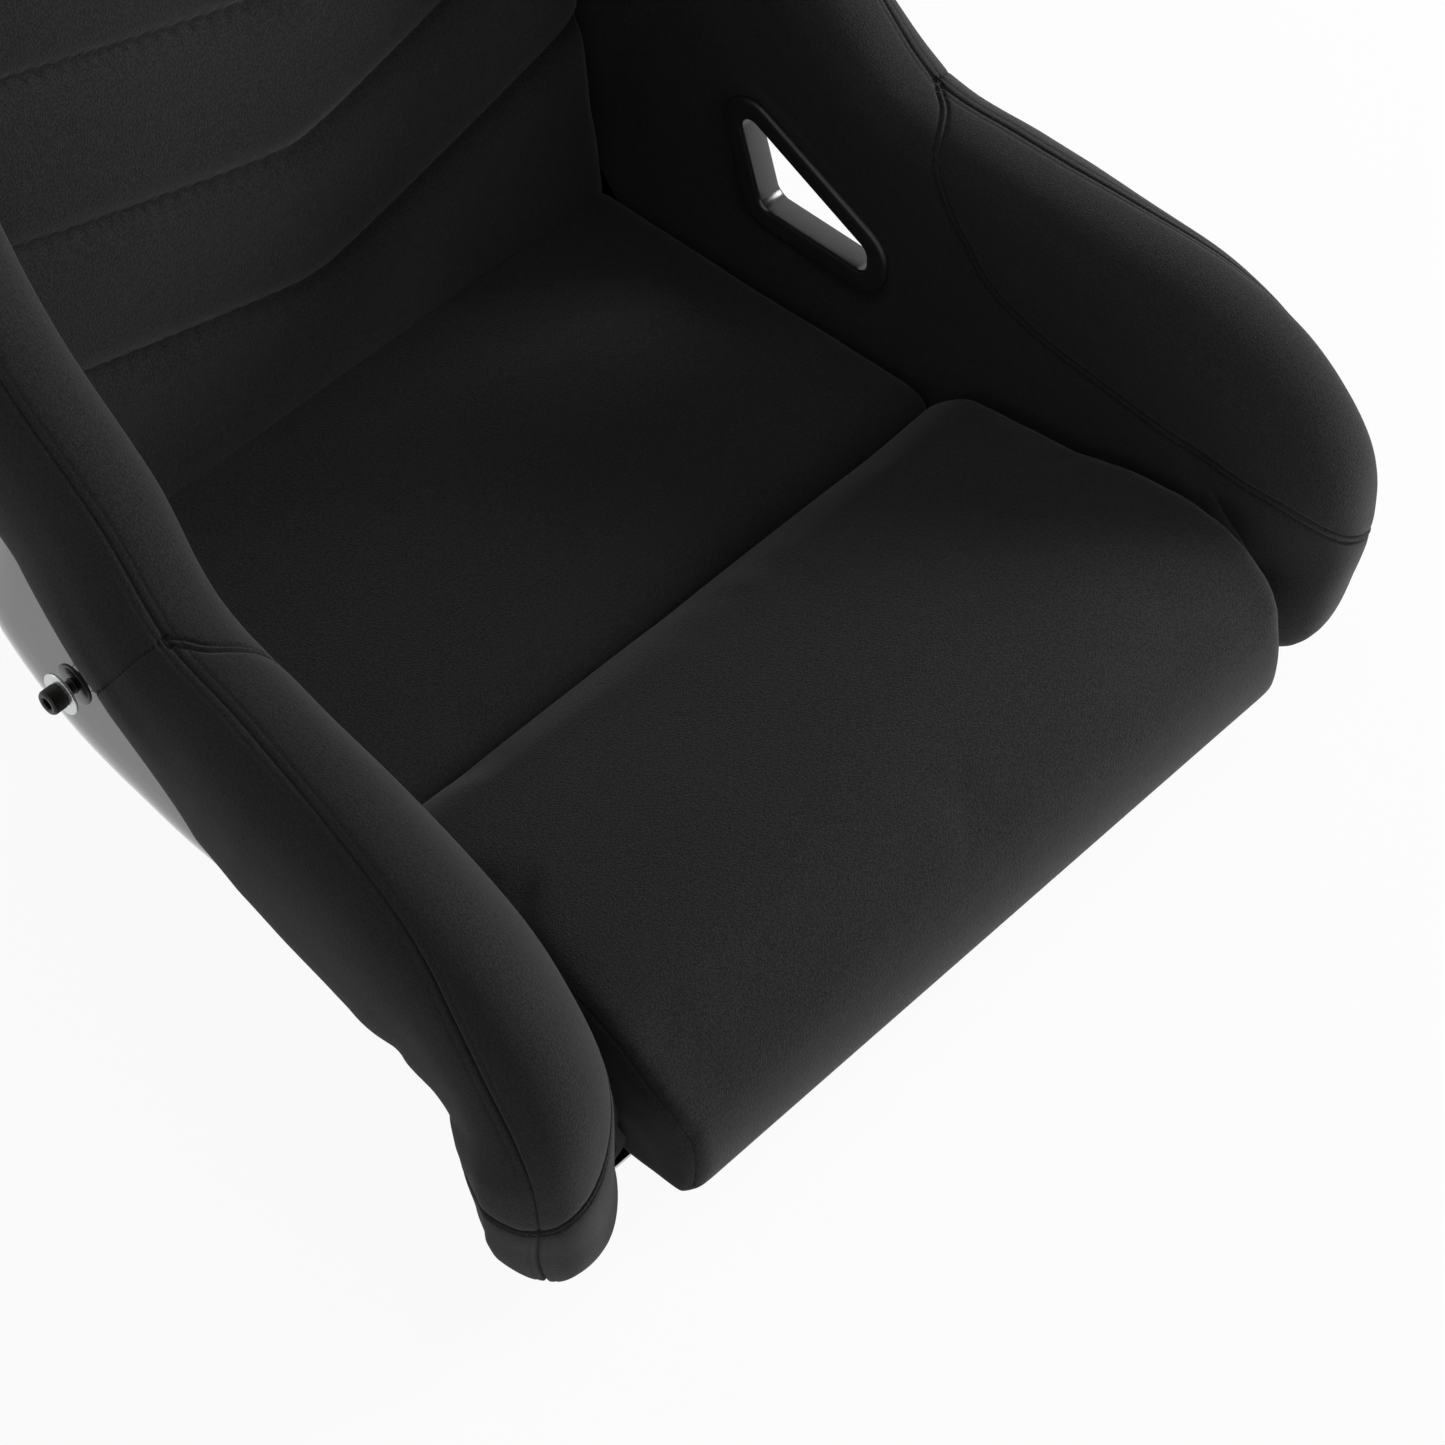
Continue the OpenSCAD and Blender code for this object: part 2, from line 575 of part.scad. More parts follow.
// Point on the side of a section at height h along it, pushed in by off.
function side_point(s, h, off) =
  let (tall = norm(rim_at(s) - base_at(s)), rc = min(eased(corner, s), 0.6 * tall), w = eased(half_w, s))
  h < rc
    ? let (a = acos(1 - h / rc)) [w - rc + (rc - off) * sin(a), h + off * slant(s) * cos(a)]
    : wall_point(s, h, tall, off);
function liner_depth(s, h, thick) =
  let (
    b = base_at(s), e = unit(rim_at(s) - b), y = b[0] + e[0] * h, z = b[1] + e[1] * h,
    tall = norm(rim_at(s) - b), rc = min(eased(corner, s), 0.6 * tall), w = eased(half_w, s),
    inner = pad_half(y) + 2 * pad_slack, skin_x = shell_t + fit_gap,
    pad_t = w - skin_x - inner, top_t = min(thick, pad_t - 0.3),
    swell = s < st_waist - 0.5 ? ease((liner_swell_z - z) / (liner_swell_z - liner_pad_z)) : 0,
    lim = h < rc ? rc - skin_x - (inner - (w - rc)) / sin(acos(1 - h / rc)) : 99
  )
  min(max(top_t, 3) + max(pad_t - top_t, 0) * swell, lim);
function liner_loop(s, thick) =
  let (
    b = base_at(s), e = unit(rim_at(s) - b), tall = norm(rim_at(s) - b),
    low = max((liner_low_z - b[1]) / e[1], s > st_step + 1.5 ? 45 + 7 * ease(s - st_step - 2) : 10)
      - 16 * ease((s - st_chest) / 1.5),
    hs = [for (q = [0, 0.14, 0.28, 0.45, 0.65, 0.83, 1]) low + (tall - 1 - low) * q]
  )
  concat(
    [for (h = hs) place(s, side_point(s, h, shell_t + fit_gap))],
    [for (h = flip(hs)) place(s, side_point(s, h, shell_t + fit_gap + liner_depth(s, h, thick)))]
  );
module hip_liner(left) {
  color([0.07, 0.07, 0.08]) both_sides(left) meshed() difference() {
    skin([for (i = [0 : 18]) liner_loop(3.2 + i * (st_waist - 0.1 - 3.2) / 18, liner_t)]);
    wrap(0.5, fit_gap);
    roll_body(2.5, st_step, 13, fit_gap);
    roll_body(st_step, st_waist + 0.5, 7, fit_gap);
    lap_prism(sleeve_t + 0.4, flank_x - 60, flank_x + 10);
    lap_prism(lap_flange + 0.5, flank_x - 60, lap_face_x + flange_t + fit_gap);
    lap_prism(sleeve_t + bead_out + 0.6, lap_face_x + 12, flank_x + 10);
    for (y = [bolt_rear_y, bolt_front_y]) at_bolt(1, y) {
      translate([0, 0, -shell_t - insert_flange_t - 1]) cylinder(d = insert_flange_d + 1.2, h = 20, $fn = 32);
      translate([0, 0, -insert_len - 3]) cylinder(d = insert_d + 1, h = 20, $fn = 32);
    }
  }
}
module torso_liner(left) {
  color([0.07, 0.07, 0.08]) both_sides(left) meshed() difference() {
    skin([for (i = [0 : 11]) liner_loop(st_waist + 0.02 + i * 0.425, torso_liner_t)]);
    wrap(0.5, fit_gap);
    roll_body(st_waist - 1, st_chest, 8, fit_gap);
    roll_body(st_chest, st_neck, 8, fit_gap);
  }
}
// Panel over the upper back, around the shoulder belt openings and behind the head pad.
function panel_loop(s, o1, o2, k) =
  let (a = half_section(s, o1, 0), b = half_section(s, o2, 0))
  concat(
    [for (i = [k : -1 : 1]) place(s, [-a[i][0], a[i][1]])], [for (i = [0 : k]) place(s, a[i])],
    [for (i = [k : -1 : 0]) place(s, b[i])], [for (i = [1 : k]) place(s, [-b[i][0], b[i][1]])]
  );
module upper_panel() {
  o = shell_t + fit_gap;
  color([0.07, 0.07, 0.08]) meshed() difference() {
    skin([for (i = [0 : 16]) panel_loop(17.15 + i * 0.2375, o, o + torso_liner_t, 9)]);
    wrap(0.5, fit_gap);
    head_roll_body(4 * fit_gap);
    for (side = [1, -1]) {
      at_belt(side) belt_prism(sleeve_t + 0.4, -10, 40);
      both_sides(side < 0) roll_body(st_chest + 1, st_neck + 0.5, 7, fit_gap);
    }
  }
}

// ---- cushions -----------------------------------------------------------------------

strip_gap = 0.1;
pad_lift = shell_t + 2 * strip_t + 3 * strip_gap;
module side_prism(v, w) {
  translate([-w, 0, 0]) rotate([90, 0, 90]) linear_extrude(height = 2 * w) polygon(v);
}
function rear_top(y) =
  rear_pad_back_z + (pad_joint_z - rear_pad_back_z) * (rear_pad_back_y - y) / (rear_pad_back_y - pad_joint_y);
rear_front_y = pad_joint_y + pad_slack;
module rear_pad_topper() {
  y0 = rear_front_y;
  y1 = rear_pad_back_y;
  color([0.08, 0.08, 0.09]) side_prism([
    [y0, rear_top(y0) - rear_topper_t], [y1, rear_pad_back_z - rear_topper_t], [y1, rear_pad_back_z - 2],
    [y1 - 2, rear_pad_back_z], [y0 + 10, rear_top(y0 + 10)], [y0 + 4, rear_top(y0) - 1.2],
    [y0 + 1, rear_top(y0) - 4], [y0, rear_top(y0) - 9]
  ], rear_pad_half_w);
}
module rear_pad_core() {
  y0 = rear_front_y + 0.5;
  y1 = rear_pad_back_y - 1;
  r = hip_r - pad_lift - 1;
  turn = asin((y1 - flat_rear_y) / r);
  color([0.2, 0.2, 0.2]) intersection() {
    side_prism(concat(
      [for (i = [0 : 7]) [flat_rear_y + r * sin(turn * i / 7), hip_r - r * cos(turn * i / 7)]],
      [[y1, rear_pad_back_z - rear_topper_t - 0.1], [y0, rear_top(y0) - rear_topper_t - 0.1], [y0, pad_lift]]
    ), rear_core_half_w + 10);
    translate([0, y1 + 1, 0]) rotate([90, 0, 0]) linear_extrude(height = y1 + 2 - y0) polygon([
      [-rear_core_half_w + 18, 0], [rear_core_half_w - 18, 0], [rear_core_half_w, 34],
      [rear_core_half_w, 90], [-rear_core_half_w, 90], [-rear_core_half_w, 34]
    ]);
  }
}
function pan_top(y, lift) = [y, pan(y)[1] + lift];
function thigh_side(t) = [
  [pad_joint_y - pad_slack, pad_lift + t], [pad_joint_y - pad_slack, pad_joint_z - 3 - t],
  [pad_joint_y - 6, pad_joint_z + 1 - t], [pad_joint_y - 23.5, pad_joint_z + 14 - t],
  [pad_joint_y - 50, pad_joint_z + 17.3 - t], [pad_joint_y - 96, pad_joint_z + 21.8 - t],
  [pad_nose_y + 72, thigh_pad_top_z - t], [pad_nose_y + 49, thigh_pad_top_z - t],
  [pad_nose_y + 37, thigh_pad_top_z - 1.3 - t], [pad_nose_y + 18, thigh_pad_top_z - 6 - t],
  [pad_nose_y - 1 + t * 0.6, thigh_pad_top_z - 17.1 - t],
  [thigh_pad_front_y + 8 + t, thigh_pad_top_z - 31 - t * 0.4], [thigh_pad_front_y + t, thigh_pad_top_z - 54],
  [thigh_pad_front_y + t, thigh_pad_low_z + 9.5 + t], [thigh_pad_front_y + 3 + t, thigh_pad_low_z + t],
  [lip_y - 6, thigh_pad_low_z - 1 + t], pan_top(lip_y + 5, pad_lift + 3 + t),
  pan_top(lip_y + 25, pad_lift + 2 + t),
  pan_top(lip_y + 57, pad_lift + 1 + t), pan_top(flat_front_y, pad_lift + t)
];
module thigh_outline(t) {
  w0 = rear_pad_half_w - t;
  w1 = thigh_pad_half_w - t;
  y0 = pad_joint_y;
  y1 = pad_nose_y;
  y2 = thigh_pad_front_y;
  linear_extrude(height = 200) polygon([
    [-w0, y0], [-w1, y1], [-w1 + 2, y1 - 12], [-w1 + 10, y2 - 1], [w1 - 10, y2 - 1], [w1 - 2, y1 - 12],
    [w1, y1], [w0, y0]
  ]);
}
module thigh_solid(t) {
  intersection() {
    side_prism(thigh_side(t), 230);
    thigh_outline(t);
  }
}
module thigh_pad_cover() {
  color([0.08, 0.08, 0.09]) difference() {
    thigh_solid(0);
    thigh_solid(thigh_cover_t);
  }
}
module thigh_pad_core() {
  color([0.2, 0.2, 0.2]) thigh_solid(thigh_cover_t + 0.1);
}

function back_depth(z) =
  back_y(back_pad_waist_z) - back_pad_waist_y
  + (back_pad_top_t - back_y(back_pad_waist_z) + back_pad_waist_y)
    * ease((z - back_pad_waist_z) / (back_top_z - back_pad_waist_z));
function back_front(z) =
  z < back_pad_waist_z
    ? back_pad_low_y
      + (back_pad_waist_y - back_pad_low_y) * (z - back_pad_low_z) / (back_pad_waist_z - back_pad_low_z)
    : back_y(z) - back_depth(z);
back_top_z = min(back_pad_top_z, belt_z - belt_h / 2 - sleeve_t - 10);
back_steps = [for (i = [0 : 10]) back_pad_low_z + (back_top_z - back_pad_low_z) * i / 10];
function back_slab(a, b) = concat(
  [for (z = back_steps) [back_front(z) + a, z]],
  b < 0 ? [for (z = flip(back_steps)) [min(back_y(z) - pad_lift * 1.02, hip_wall(z)), z]]
    : [for (z = flip(back_steps)) [back_front(z) + b, z]]
);
// Inner face of the hip bend beside height z.
function hip_wall(z) =
  z < hip_r ? flat_rear_y + sqrt(pow(hip_r - pad_lift - 1.6, 2) - pow(hip_r - z, 2)) : 999;
module back_outline(w) {
  z0 = back_pad_low_z - 1;
  z1 = back_top_z;
  translate([0, 400, 0]) rotate([90, 0, 0]) linear_extrude(height = 300) polygon([
    [-w, z0], [w, z0], [w, z1 - 100], [w - 4, z1 - 60], [w - 22, z1 - 18], [w - 40, z1], [40 - w, z1],
    [22 - w, z1 - 18], [4 - w, z1 - 60], [-w, z1 - 100]
  ]);
}
module back_pad_topper() {
  color([0.08, 0.08, 0.09]) intersection() {
    side_prism(back_slab(0, back_topper_t), back_pad_half_w + 5);
    back_outline(back_pad_half_w);
  }
}
module back_pad_core() {
  color([0.2, 0.2, 0.2]) intersection() {
    side_prism(back_slab(back_topper_t + 0.1, -1), back_pad_half_w);
    back_outline(back_pad_half_w - 34);
  }
}
module head_pad() {
  z0 = max(head_pad_low_z, belt_z + belt_h / 2 + sleeve_t + 10);
  zs = [for (i = [0 : 4]) z0 + (head_pad_top_z - z0) * i / 4];
  rear = [for (z = flip(zs)) [back_y(z) - (shell_t + torso_liner_t + 2 * fit_gap) * 1.03, z]];
  swell = function (z) 1 - 0.25 * pow(abs(z - zs[2]) / (zs[2] - zs[0]), 2);
  front = [for (z = zs) [back_y(z) - shell_t - torso_liner_t - head_pad_t * swell(z), z]];
  w = head_pad_half_w - 8;
  color([0.08, 0.08, 0.09]) intersection() {
    side_prism(concat(front, rear), head_pad_half_w);
    translate([0, 500, 0]) rotate([90, 0, 0]) linear_extrude(height = 400) polygon([
      [-w + 6, z0], [w - 6, z0], [w, z0 + 8], [w, head_pad_top_z - 34],
      [w - 20, head_pad_top_z], [20 - w, head_pad_top_z], [-w, head_pad_top_z - 34], [-w, z0 + 8]
    ]);
  }
}

// ---- hook-and-loop strips -----------------------------------------------------------

loop_lift = shell_t + strip_gap;
hook_lift = loop_lift + strip_t + strip_gap;
rear_strip_y = [rear_front_y + 12, flat_rear_y - 22];
thigh_strip_y = [flat_front_y + 36, pad_joint_y - 6];
module floor_strips(span, lift) {
  for (x = [-110, 110]) {
    translate([x - strip_w / 2, span[0], lift]) cube([strip_w, span[1] - span[0], strip_t]);
  }
}
module rear_pad_hooks() {
  color([0.12, 0.12, 0.12]) floor_strips(rear_strip_y, hook_lift);
}
module thigh_pad_hooks() {
  color([0.12, 0.12, 0.12]) floor_strips(thigh_strip_y, hook_lift);
}
module pan_loops() {
  color([0.15, 0.15, 0.15]) {
    floor_strips(rear_strip_y, loop_lift);
    floor_strips(thigh_strip_y, loop_lift);
  }
}
module back_strip(lift) {
  zs = [for (i = [0 : 6]) back_pad_waist_z - 60 + i * 45];
  front = [for (z = zs) [back_y(z) - (lift + strip_t) * 1.01, z]];
  rear = [for (z = flip(zs)) [back_y(z) - lift * 1.01, z]];
  for (x = [-90, 90]) translate([x, 0, 0]) side_prism(concat(front, rear), strip_w / 2);
}
module back_pad_hooks() {
  color([0.12, 0.12, 0.12]) back_strip(hook_lift);
}
module back_loops() {
  color([0.15, 0.15, 0.15]) back_strip(loop_lift);
}

// ---- belt bezels --------------------------------------------------------------------

module lap_bezel(left) {
  sleeve_end = flank_x - 3;
  color([0.1, 0.1, 0.1]) both_sides(left) difference() {
    union() {
      lap_prism(lap_flange, lap_face_x, lap_face_x + flange_t);
      lap_prism(sleeve_t, lap_face_x, sleeve_end);
      lap_prism(sleeve_t + bead_out, flank_x - shell_t + 0.3, sleeve_end);
    }
    lap_prism(0, lap_face_x - 1, sleeve_end + 1);
  }
}
module shoulder_bezels() {
  face = shell_t + torso_liner_t + 3 * fit_gap;
  color([0.1, 0.1, 0.1]) for (side = [1, -1]) at_belt(side) difference() {
    union() {
      belt_prism(sleeve_t + 6, face, face + flange_t);
      belt_prism(sleeve_t, -1, face + flange_t);
    }
    belt_prism(0, -3, face + flange_t + 1);
  }
}
module shoulder_rings() {
  color([0.1, 0.1, 0.1]) for (side = [1, -1]) at_belt(side) difference() {
    belt_prism(sleeve_t + 6, -fit_gap - flange_t, -fit_gap);
    belt_prism(sleeve_t + 0.2, -fit_gap - flange_t - 1, 1);
  }
}

// ---- side mounting ------------------------------------------------------------------

shank_r = bolt_d / 2 - thread_fit;
black_z = gap_inner;
flat_z = gap_inner + black_washer_t + gap_outer;
head_z = flat_z + flat_washer_t + 0.1;
module side_inserts() {
  color([0.55, 0.55, 0.55]) at_all_bolts() difference() {
    union() {
      translate([0, 0, -insert_len]) cylinder(d = insert_d, h = insert_len - 0.3);
      translate([0, 0, -shell_t - 0.2 - insert_flange_t]) cylinder(d = insert_flange_d, h = insert_flange_t);
    }
    translate([0, 0, -insert_len - 1]) cylinder(d = bolt_d, h = insert_len + 2);
  }
}
module bolt() {
  color([0.05, 0.05, 0.05]) difference() {
    union() {
      translate([0, 0, head_z - bolt_len]) cylinder(r = shank_r, h = bolt_len);
      translate([0, 0, head_z]) cylinder(d = head_d, h = head_h - 1);
      translate([0, 0, head_z + head_h - 1]) cylinder(d1 = head_d, d2 = head_d - 2, h = 1);
    }
    translate([0, 0, head_z + head_h - socket_depth])
      cylinder(d = socket_af / cos(30), h = socket_depth + 1, $fn = 6);
  }
}
module washer(z, d, t, c) {
  color(c) difference() {
    translate([0, 0, z]) cylinder(d = d, h = t);
    translate([0, 0, z - 1]) cylinder(r = shank_r + washer_fit, h = t + 2);
  }
}
module flat_washer() {
  washer(flat_z, flat_washer_d, flat_washer_t, [0.8, 0.8, 0.8]);
}
module black_washer() {
  washer(black_z, black_washer_d, black_washer_t, [0.05, 0.05, 0.05]);
}

shell();
leg_bolster(false);  // leg_bolster_right
leg_bolster(true);  // leg_bolster_left
torso_wing(false);  // torso_wing_right
torso_wing(true);  // torso_wing_left
shoulder_roll(false);  // shoulder_roll_right
shoulder_roll(true);  // shoulder_roll_left
head_roll();
hip_liner(false);  // hip_liner_right
hip_liner(true);  // hip_liner_left
torso_liner(false);  // torso_liner_right
torso_liner(true);  // torso_liner_left
upper_panel();
head_pad();
back_pad_topper();
back_pad_core();
back_pad_hooks();
back_loops();
rear_pad_topper();
rear_pad_core();
rear_pad_hooks();
thigh_pad_cover();
thigh_pad_core();
thigh_pad_hooks();
pan_loops();
lap_bezel(false);  // lap_bezel_right
lap_bezel(true);  // lap_bezel_left
shoulder_bezels();
shoulder_rings();
side_inserts();
at_bolt(1, bolt_rear_y) bolt();  // bolt_rear_right
at_bolt(-1, bolt_rear_y) bolt();  // bolt_rear_left
at_bolt(1, bolt_front_y) bolt();  // bolt_front_right
at_bolt(-1, bolt_front_y) bolt();  // bolt_front_left
at_bolt(1, bolt_rear_y) flat_washer();  // flat_washer_rear_right
at_bolt(-1, bolt_rear_y) flat_washer();  // flat_washer_rear_left
at_bolt(1, bolt_front_y) flat_washer();  // flat_washer_front_right
at_bolt(-1, bolt_front_y) flat_washer();  // flat_washer_front_left
at_bolt(1, bolt_rear_y) black_washer();  // black_washer_rear_right
at_bolt(-1, bolt_rear_y) black_washer();  // black_washer_rear_left
at_bolt(1, bolt_front_y) black_washer();  // black_washer_front_right
at_bolt(-1, bolt_front_y) black_washer();  // black_washer_front_left
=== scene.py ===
"""Dresses the fixed-back bucket seat: sewn knit covers over foam, cushions, gelcoat shell and fixings."""

import logging
import math
from dataclasses import dataclass
from enum import Enum
from functools import cached_property, lru_cache
from typing import Callable, Iterable, Sequence

import bmesh
import bpy
import numpy as np
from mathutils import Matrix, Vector
from mathutils.bvhtree import BVHTree
from mathutils.kdtree import KDTree


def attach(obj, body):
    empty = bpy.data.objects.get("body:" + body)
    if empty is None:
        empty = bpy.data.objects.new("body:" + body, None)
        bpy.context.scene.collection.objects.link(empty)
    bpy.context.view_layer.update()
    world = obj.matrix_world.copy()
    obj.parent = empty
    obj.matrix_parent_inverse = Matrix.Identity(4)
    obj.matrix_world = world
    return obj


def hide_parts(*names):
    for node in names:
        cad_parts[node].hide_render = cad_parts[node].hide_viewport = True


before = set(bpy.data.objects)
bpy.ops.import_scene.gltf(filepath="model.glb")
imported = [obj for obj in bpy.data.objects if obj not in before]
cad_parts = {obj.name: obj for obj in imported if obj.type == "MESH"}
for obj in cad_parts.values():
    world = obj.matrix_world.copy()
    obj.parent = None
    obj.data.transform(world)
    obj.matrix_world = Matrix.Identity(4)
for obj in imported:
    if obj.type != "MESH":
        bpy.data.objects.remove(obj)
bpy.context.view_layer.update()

log = logging.getLogger("seat")
MM = 0.001
FLIP = np.array([-1, 1, 1])
Point = tuple[float, float]


class Side(Enum):
    """The two sides of the seat, by the sign of X."""

    RIGHT = 1
    LEFT = -1

    @property
    def word(self) -> str:
        """The side's name as the nodes spell it."""
        return self.name.lower()


class Row(Enum):
    """The two rows of side bolts, by their place along Y in millimetres."""

    REAR = 116.0
    FRONT = -174.0

    @property
    def word(self) -> str:
        """The row's name as the nodes spell it."""
        return self.name.lower()


# ---- numbers and curves ------------------------------------------------------------------


def clamp(value: float, low: float, high: float) -> float:
    """Keeps a value between two limits."""
    return min(max(value, low), high)


def ease(t: float) -> float:
    """Smooth step from 0 to 1."""
    q = clamp(t, 0.0, 1.0)
    return q * q * (3 - 2 * q)


def curve(values: Sequence, s: float):
    """Reads a smooth curve through listed values.

    Args:
        values: Numbers or vectors, one for each whole station.
        s: The station, which may lie between two whole ones.

    Returns:
        The value at that station.
    """
    last = len(values) - 1
    q = clamp(s, 0, last)
    i = min(int(q), last - 1)
    t = q - i
    a, b, c, d = (values[k] for k in (max(i - 1, 0), i, i + 1, min(i + 2, last)))
    return 0.5 * (2 * b + (c - a) * t + (2 * a - 5 * b + 4 * c - d) * t**2 + (3 * b - a - 3 * c + d) * t**3)


def eased(values: Sequence[float], s: float) -> float:
    """Reads listed numbers with a smooth step between neighbours."""
    last = len(values) - 1
    q = clamp(s, 0, last)
    i = min(int(q), last - 1)
    return values[i] + (values[i + 1] - values[i]) * ease(q - i)


def turn(count: int) -> np.ndarray:
    """Evenly spaced angles of a full turn."""
    return np.linspace(0, 2 * math.pi, count, endpoint=False)


def unit(v: np.ndarray) -> np.ndarray:
    """Scales a vector to length 1."""
    return v / np.linalg.norm(v)


def smooth_path(points: Sequence, steps: int = 12) -> np.ndarray:
    """Draws a rounded open curve through points without overshoot at uneven spacing.

    Args:
        points: The points to pass through.
        steps: Samples in each span.

    Returns:
        The dense points, one row each.
    """
    p = np.asarray(points, float)
    p = np.vstack([2 * p[0] - p[1], p, 2 * p[-1] - p[-2]])
    gaps = np.sqrt(np.maximum(np.linalg.norm(np.diff(p, axis=0), axis=1), 1e-6))
    t = np.concatenate([[0.0], np.cumsum(gaps)])
    out = []
    for i in range(1, len(p) - 2):
        q = np.linspace(t[i], t[i + 1], steps, endpoint=False)[:, None]
        a = [(t[j + 1] - q) / (t[j + 1] - t[j]) * p[j] + (q - t[j]) / (t[j + 1] - t[j]) * p[j + 1]
             for j in (i - 1, i, i + 1)]
        b = [(t[i + k + 1] - q) / (t[i + k + 1] - t[i + k - 1]) * a[k]
             + (q - t[i + k - 1]) / (t[i + k + 1] - t[i + k - 1]) * a[k + 1] for k in (0, 1)]
        out.append((t[i + 1] - q) / (t[i + 1] - t[i]) * b[0] + (q - t[i]) / (t[i + 1] - t[i]) * b[1])
    return np.vstack(out + [p[-2:-1]])


def lengths(path: np.ndarray) -> np.ndarray:
    """Distance along a path at each of its points."""
    return np.concatenate([[0.0], np.cumsum(np.linalg.norm(np.diff(path, axis=0), axis=1))])


def read_path(path: np.ndarray, at: Sequence[float]) -> np.ndarray:
    """Points of a path at given distances along it."""
    run = lengths(path)
    return np.column_stack([np.interp(at, run, path[:, k]) for k in range(path.shape[1])])


def corner_arc(p: Point, q: Point, r: Point, radius: float, steps: int = 10) -> list[Point]:
    """Rounds the corner at q of the lines p-q and q-r."""
    p_, q_, r_ = (np.asarray(v, float) for v in (p, q, r))
    u, v = unit(p_ - q_), unit(r_ - q_)
    b = unit(u + v)
    half = math.acos(clamp(float(u @ v), -1, 1)) / 2
    centre = q_ + b * radius / math.sin(half)
    turn = math.pi - 2 * half
    arm = -b * radius
    sign = 1.0 if u[0] * v[1] - u[1] * v[0] < 0 else -1.0
    out = []
    for i in range(steps + 1):
        w = sign * (i / steps - 0.5) * turn
        out.append(tuple(centre + [arm[0] * math.cos(w) - arm[1] * math.sin(w),
                                   arm[0] * math.sin(w) + arm[1] * math.cos(w)]))
    return out


def grown(corners: Sequence[Point], by: float) -> list[Point]:
    """Moves each side of a polygon by a distance along its left-hand normal."""
    out = []
    n = len(corners)
    for i in range(n):
        p, q, r = (np.asarray(corners[k % n], float) for k in (i - 1, i, i + 1))
        a, b = unit(q - p), unit(r - q)
        na, nb = np.array([-a[1], a[0]]), np.array([-b[1], b[0]])
        out.append(tuple(q + (na + nb) * (by / (1 + na @ nb))))
    return out


def rounded(corners: Sequence[Point], radius: float, steps: int = 10) -> list[Point]:
    """Rounds every corner of a polygon."""
    n = len(corners)
    return [p for i in range(n)
            for p in corner_arc(corners[i - 1], corners[i], corners[(i + 1) % n], radius, steps)]


def polygon_distance(points: np.ndarray, polygon: Sequence[Point]) -> np.ndarray:
    """Signed distance from flat points to a polygon, negative inside it."""
    poly = np.asarray(polygon, float)
    nxt = np.roll(poly, -1, axis=0)
    best = np.full(len(points), 1e9)
    inside = np.zeros(len(points), bool)
    for a, b in zip(poly, nxt):
        d = b - a
        t = np.clip(((points - a) @ d) / max(d @ d, 1e-9), 0, 1)
        best = np.minimum(best, np.linalg.norm(points - a - t[:, None] * d, axis=1))
        cross = (a[1] > points[:, 1]) != (b[1] > points[:, 1])
        with np.errstate(divide="ignore", invalid="ignore"):
            x = a[0] + (points[:, 1] - a[1]) / (b[1] - a[1]) * (b[0] - a[0])
        inside ^= cross & (points[:, 0] < x)
    return np.where(inside, -best, best)


# ---- the seat's ruling curves ---------------------------------------------------------------


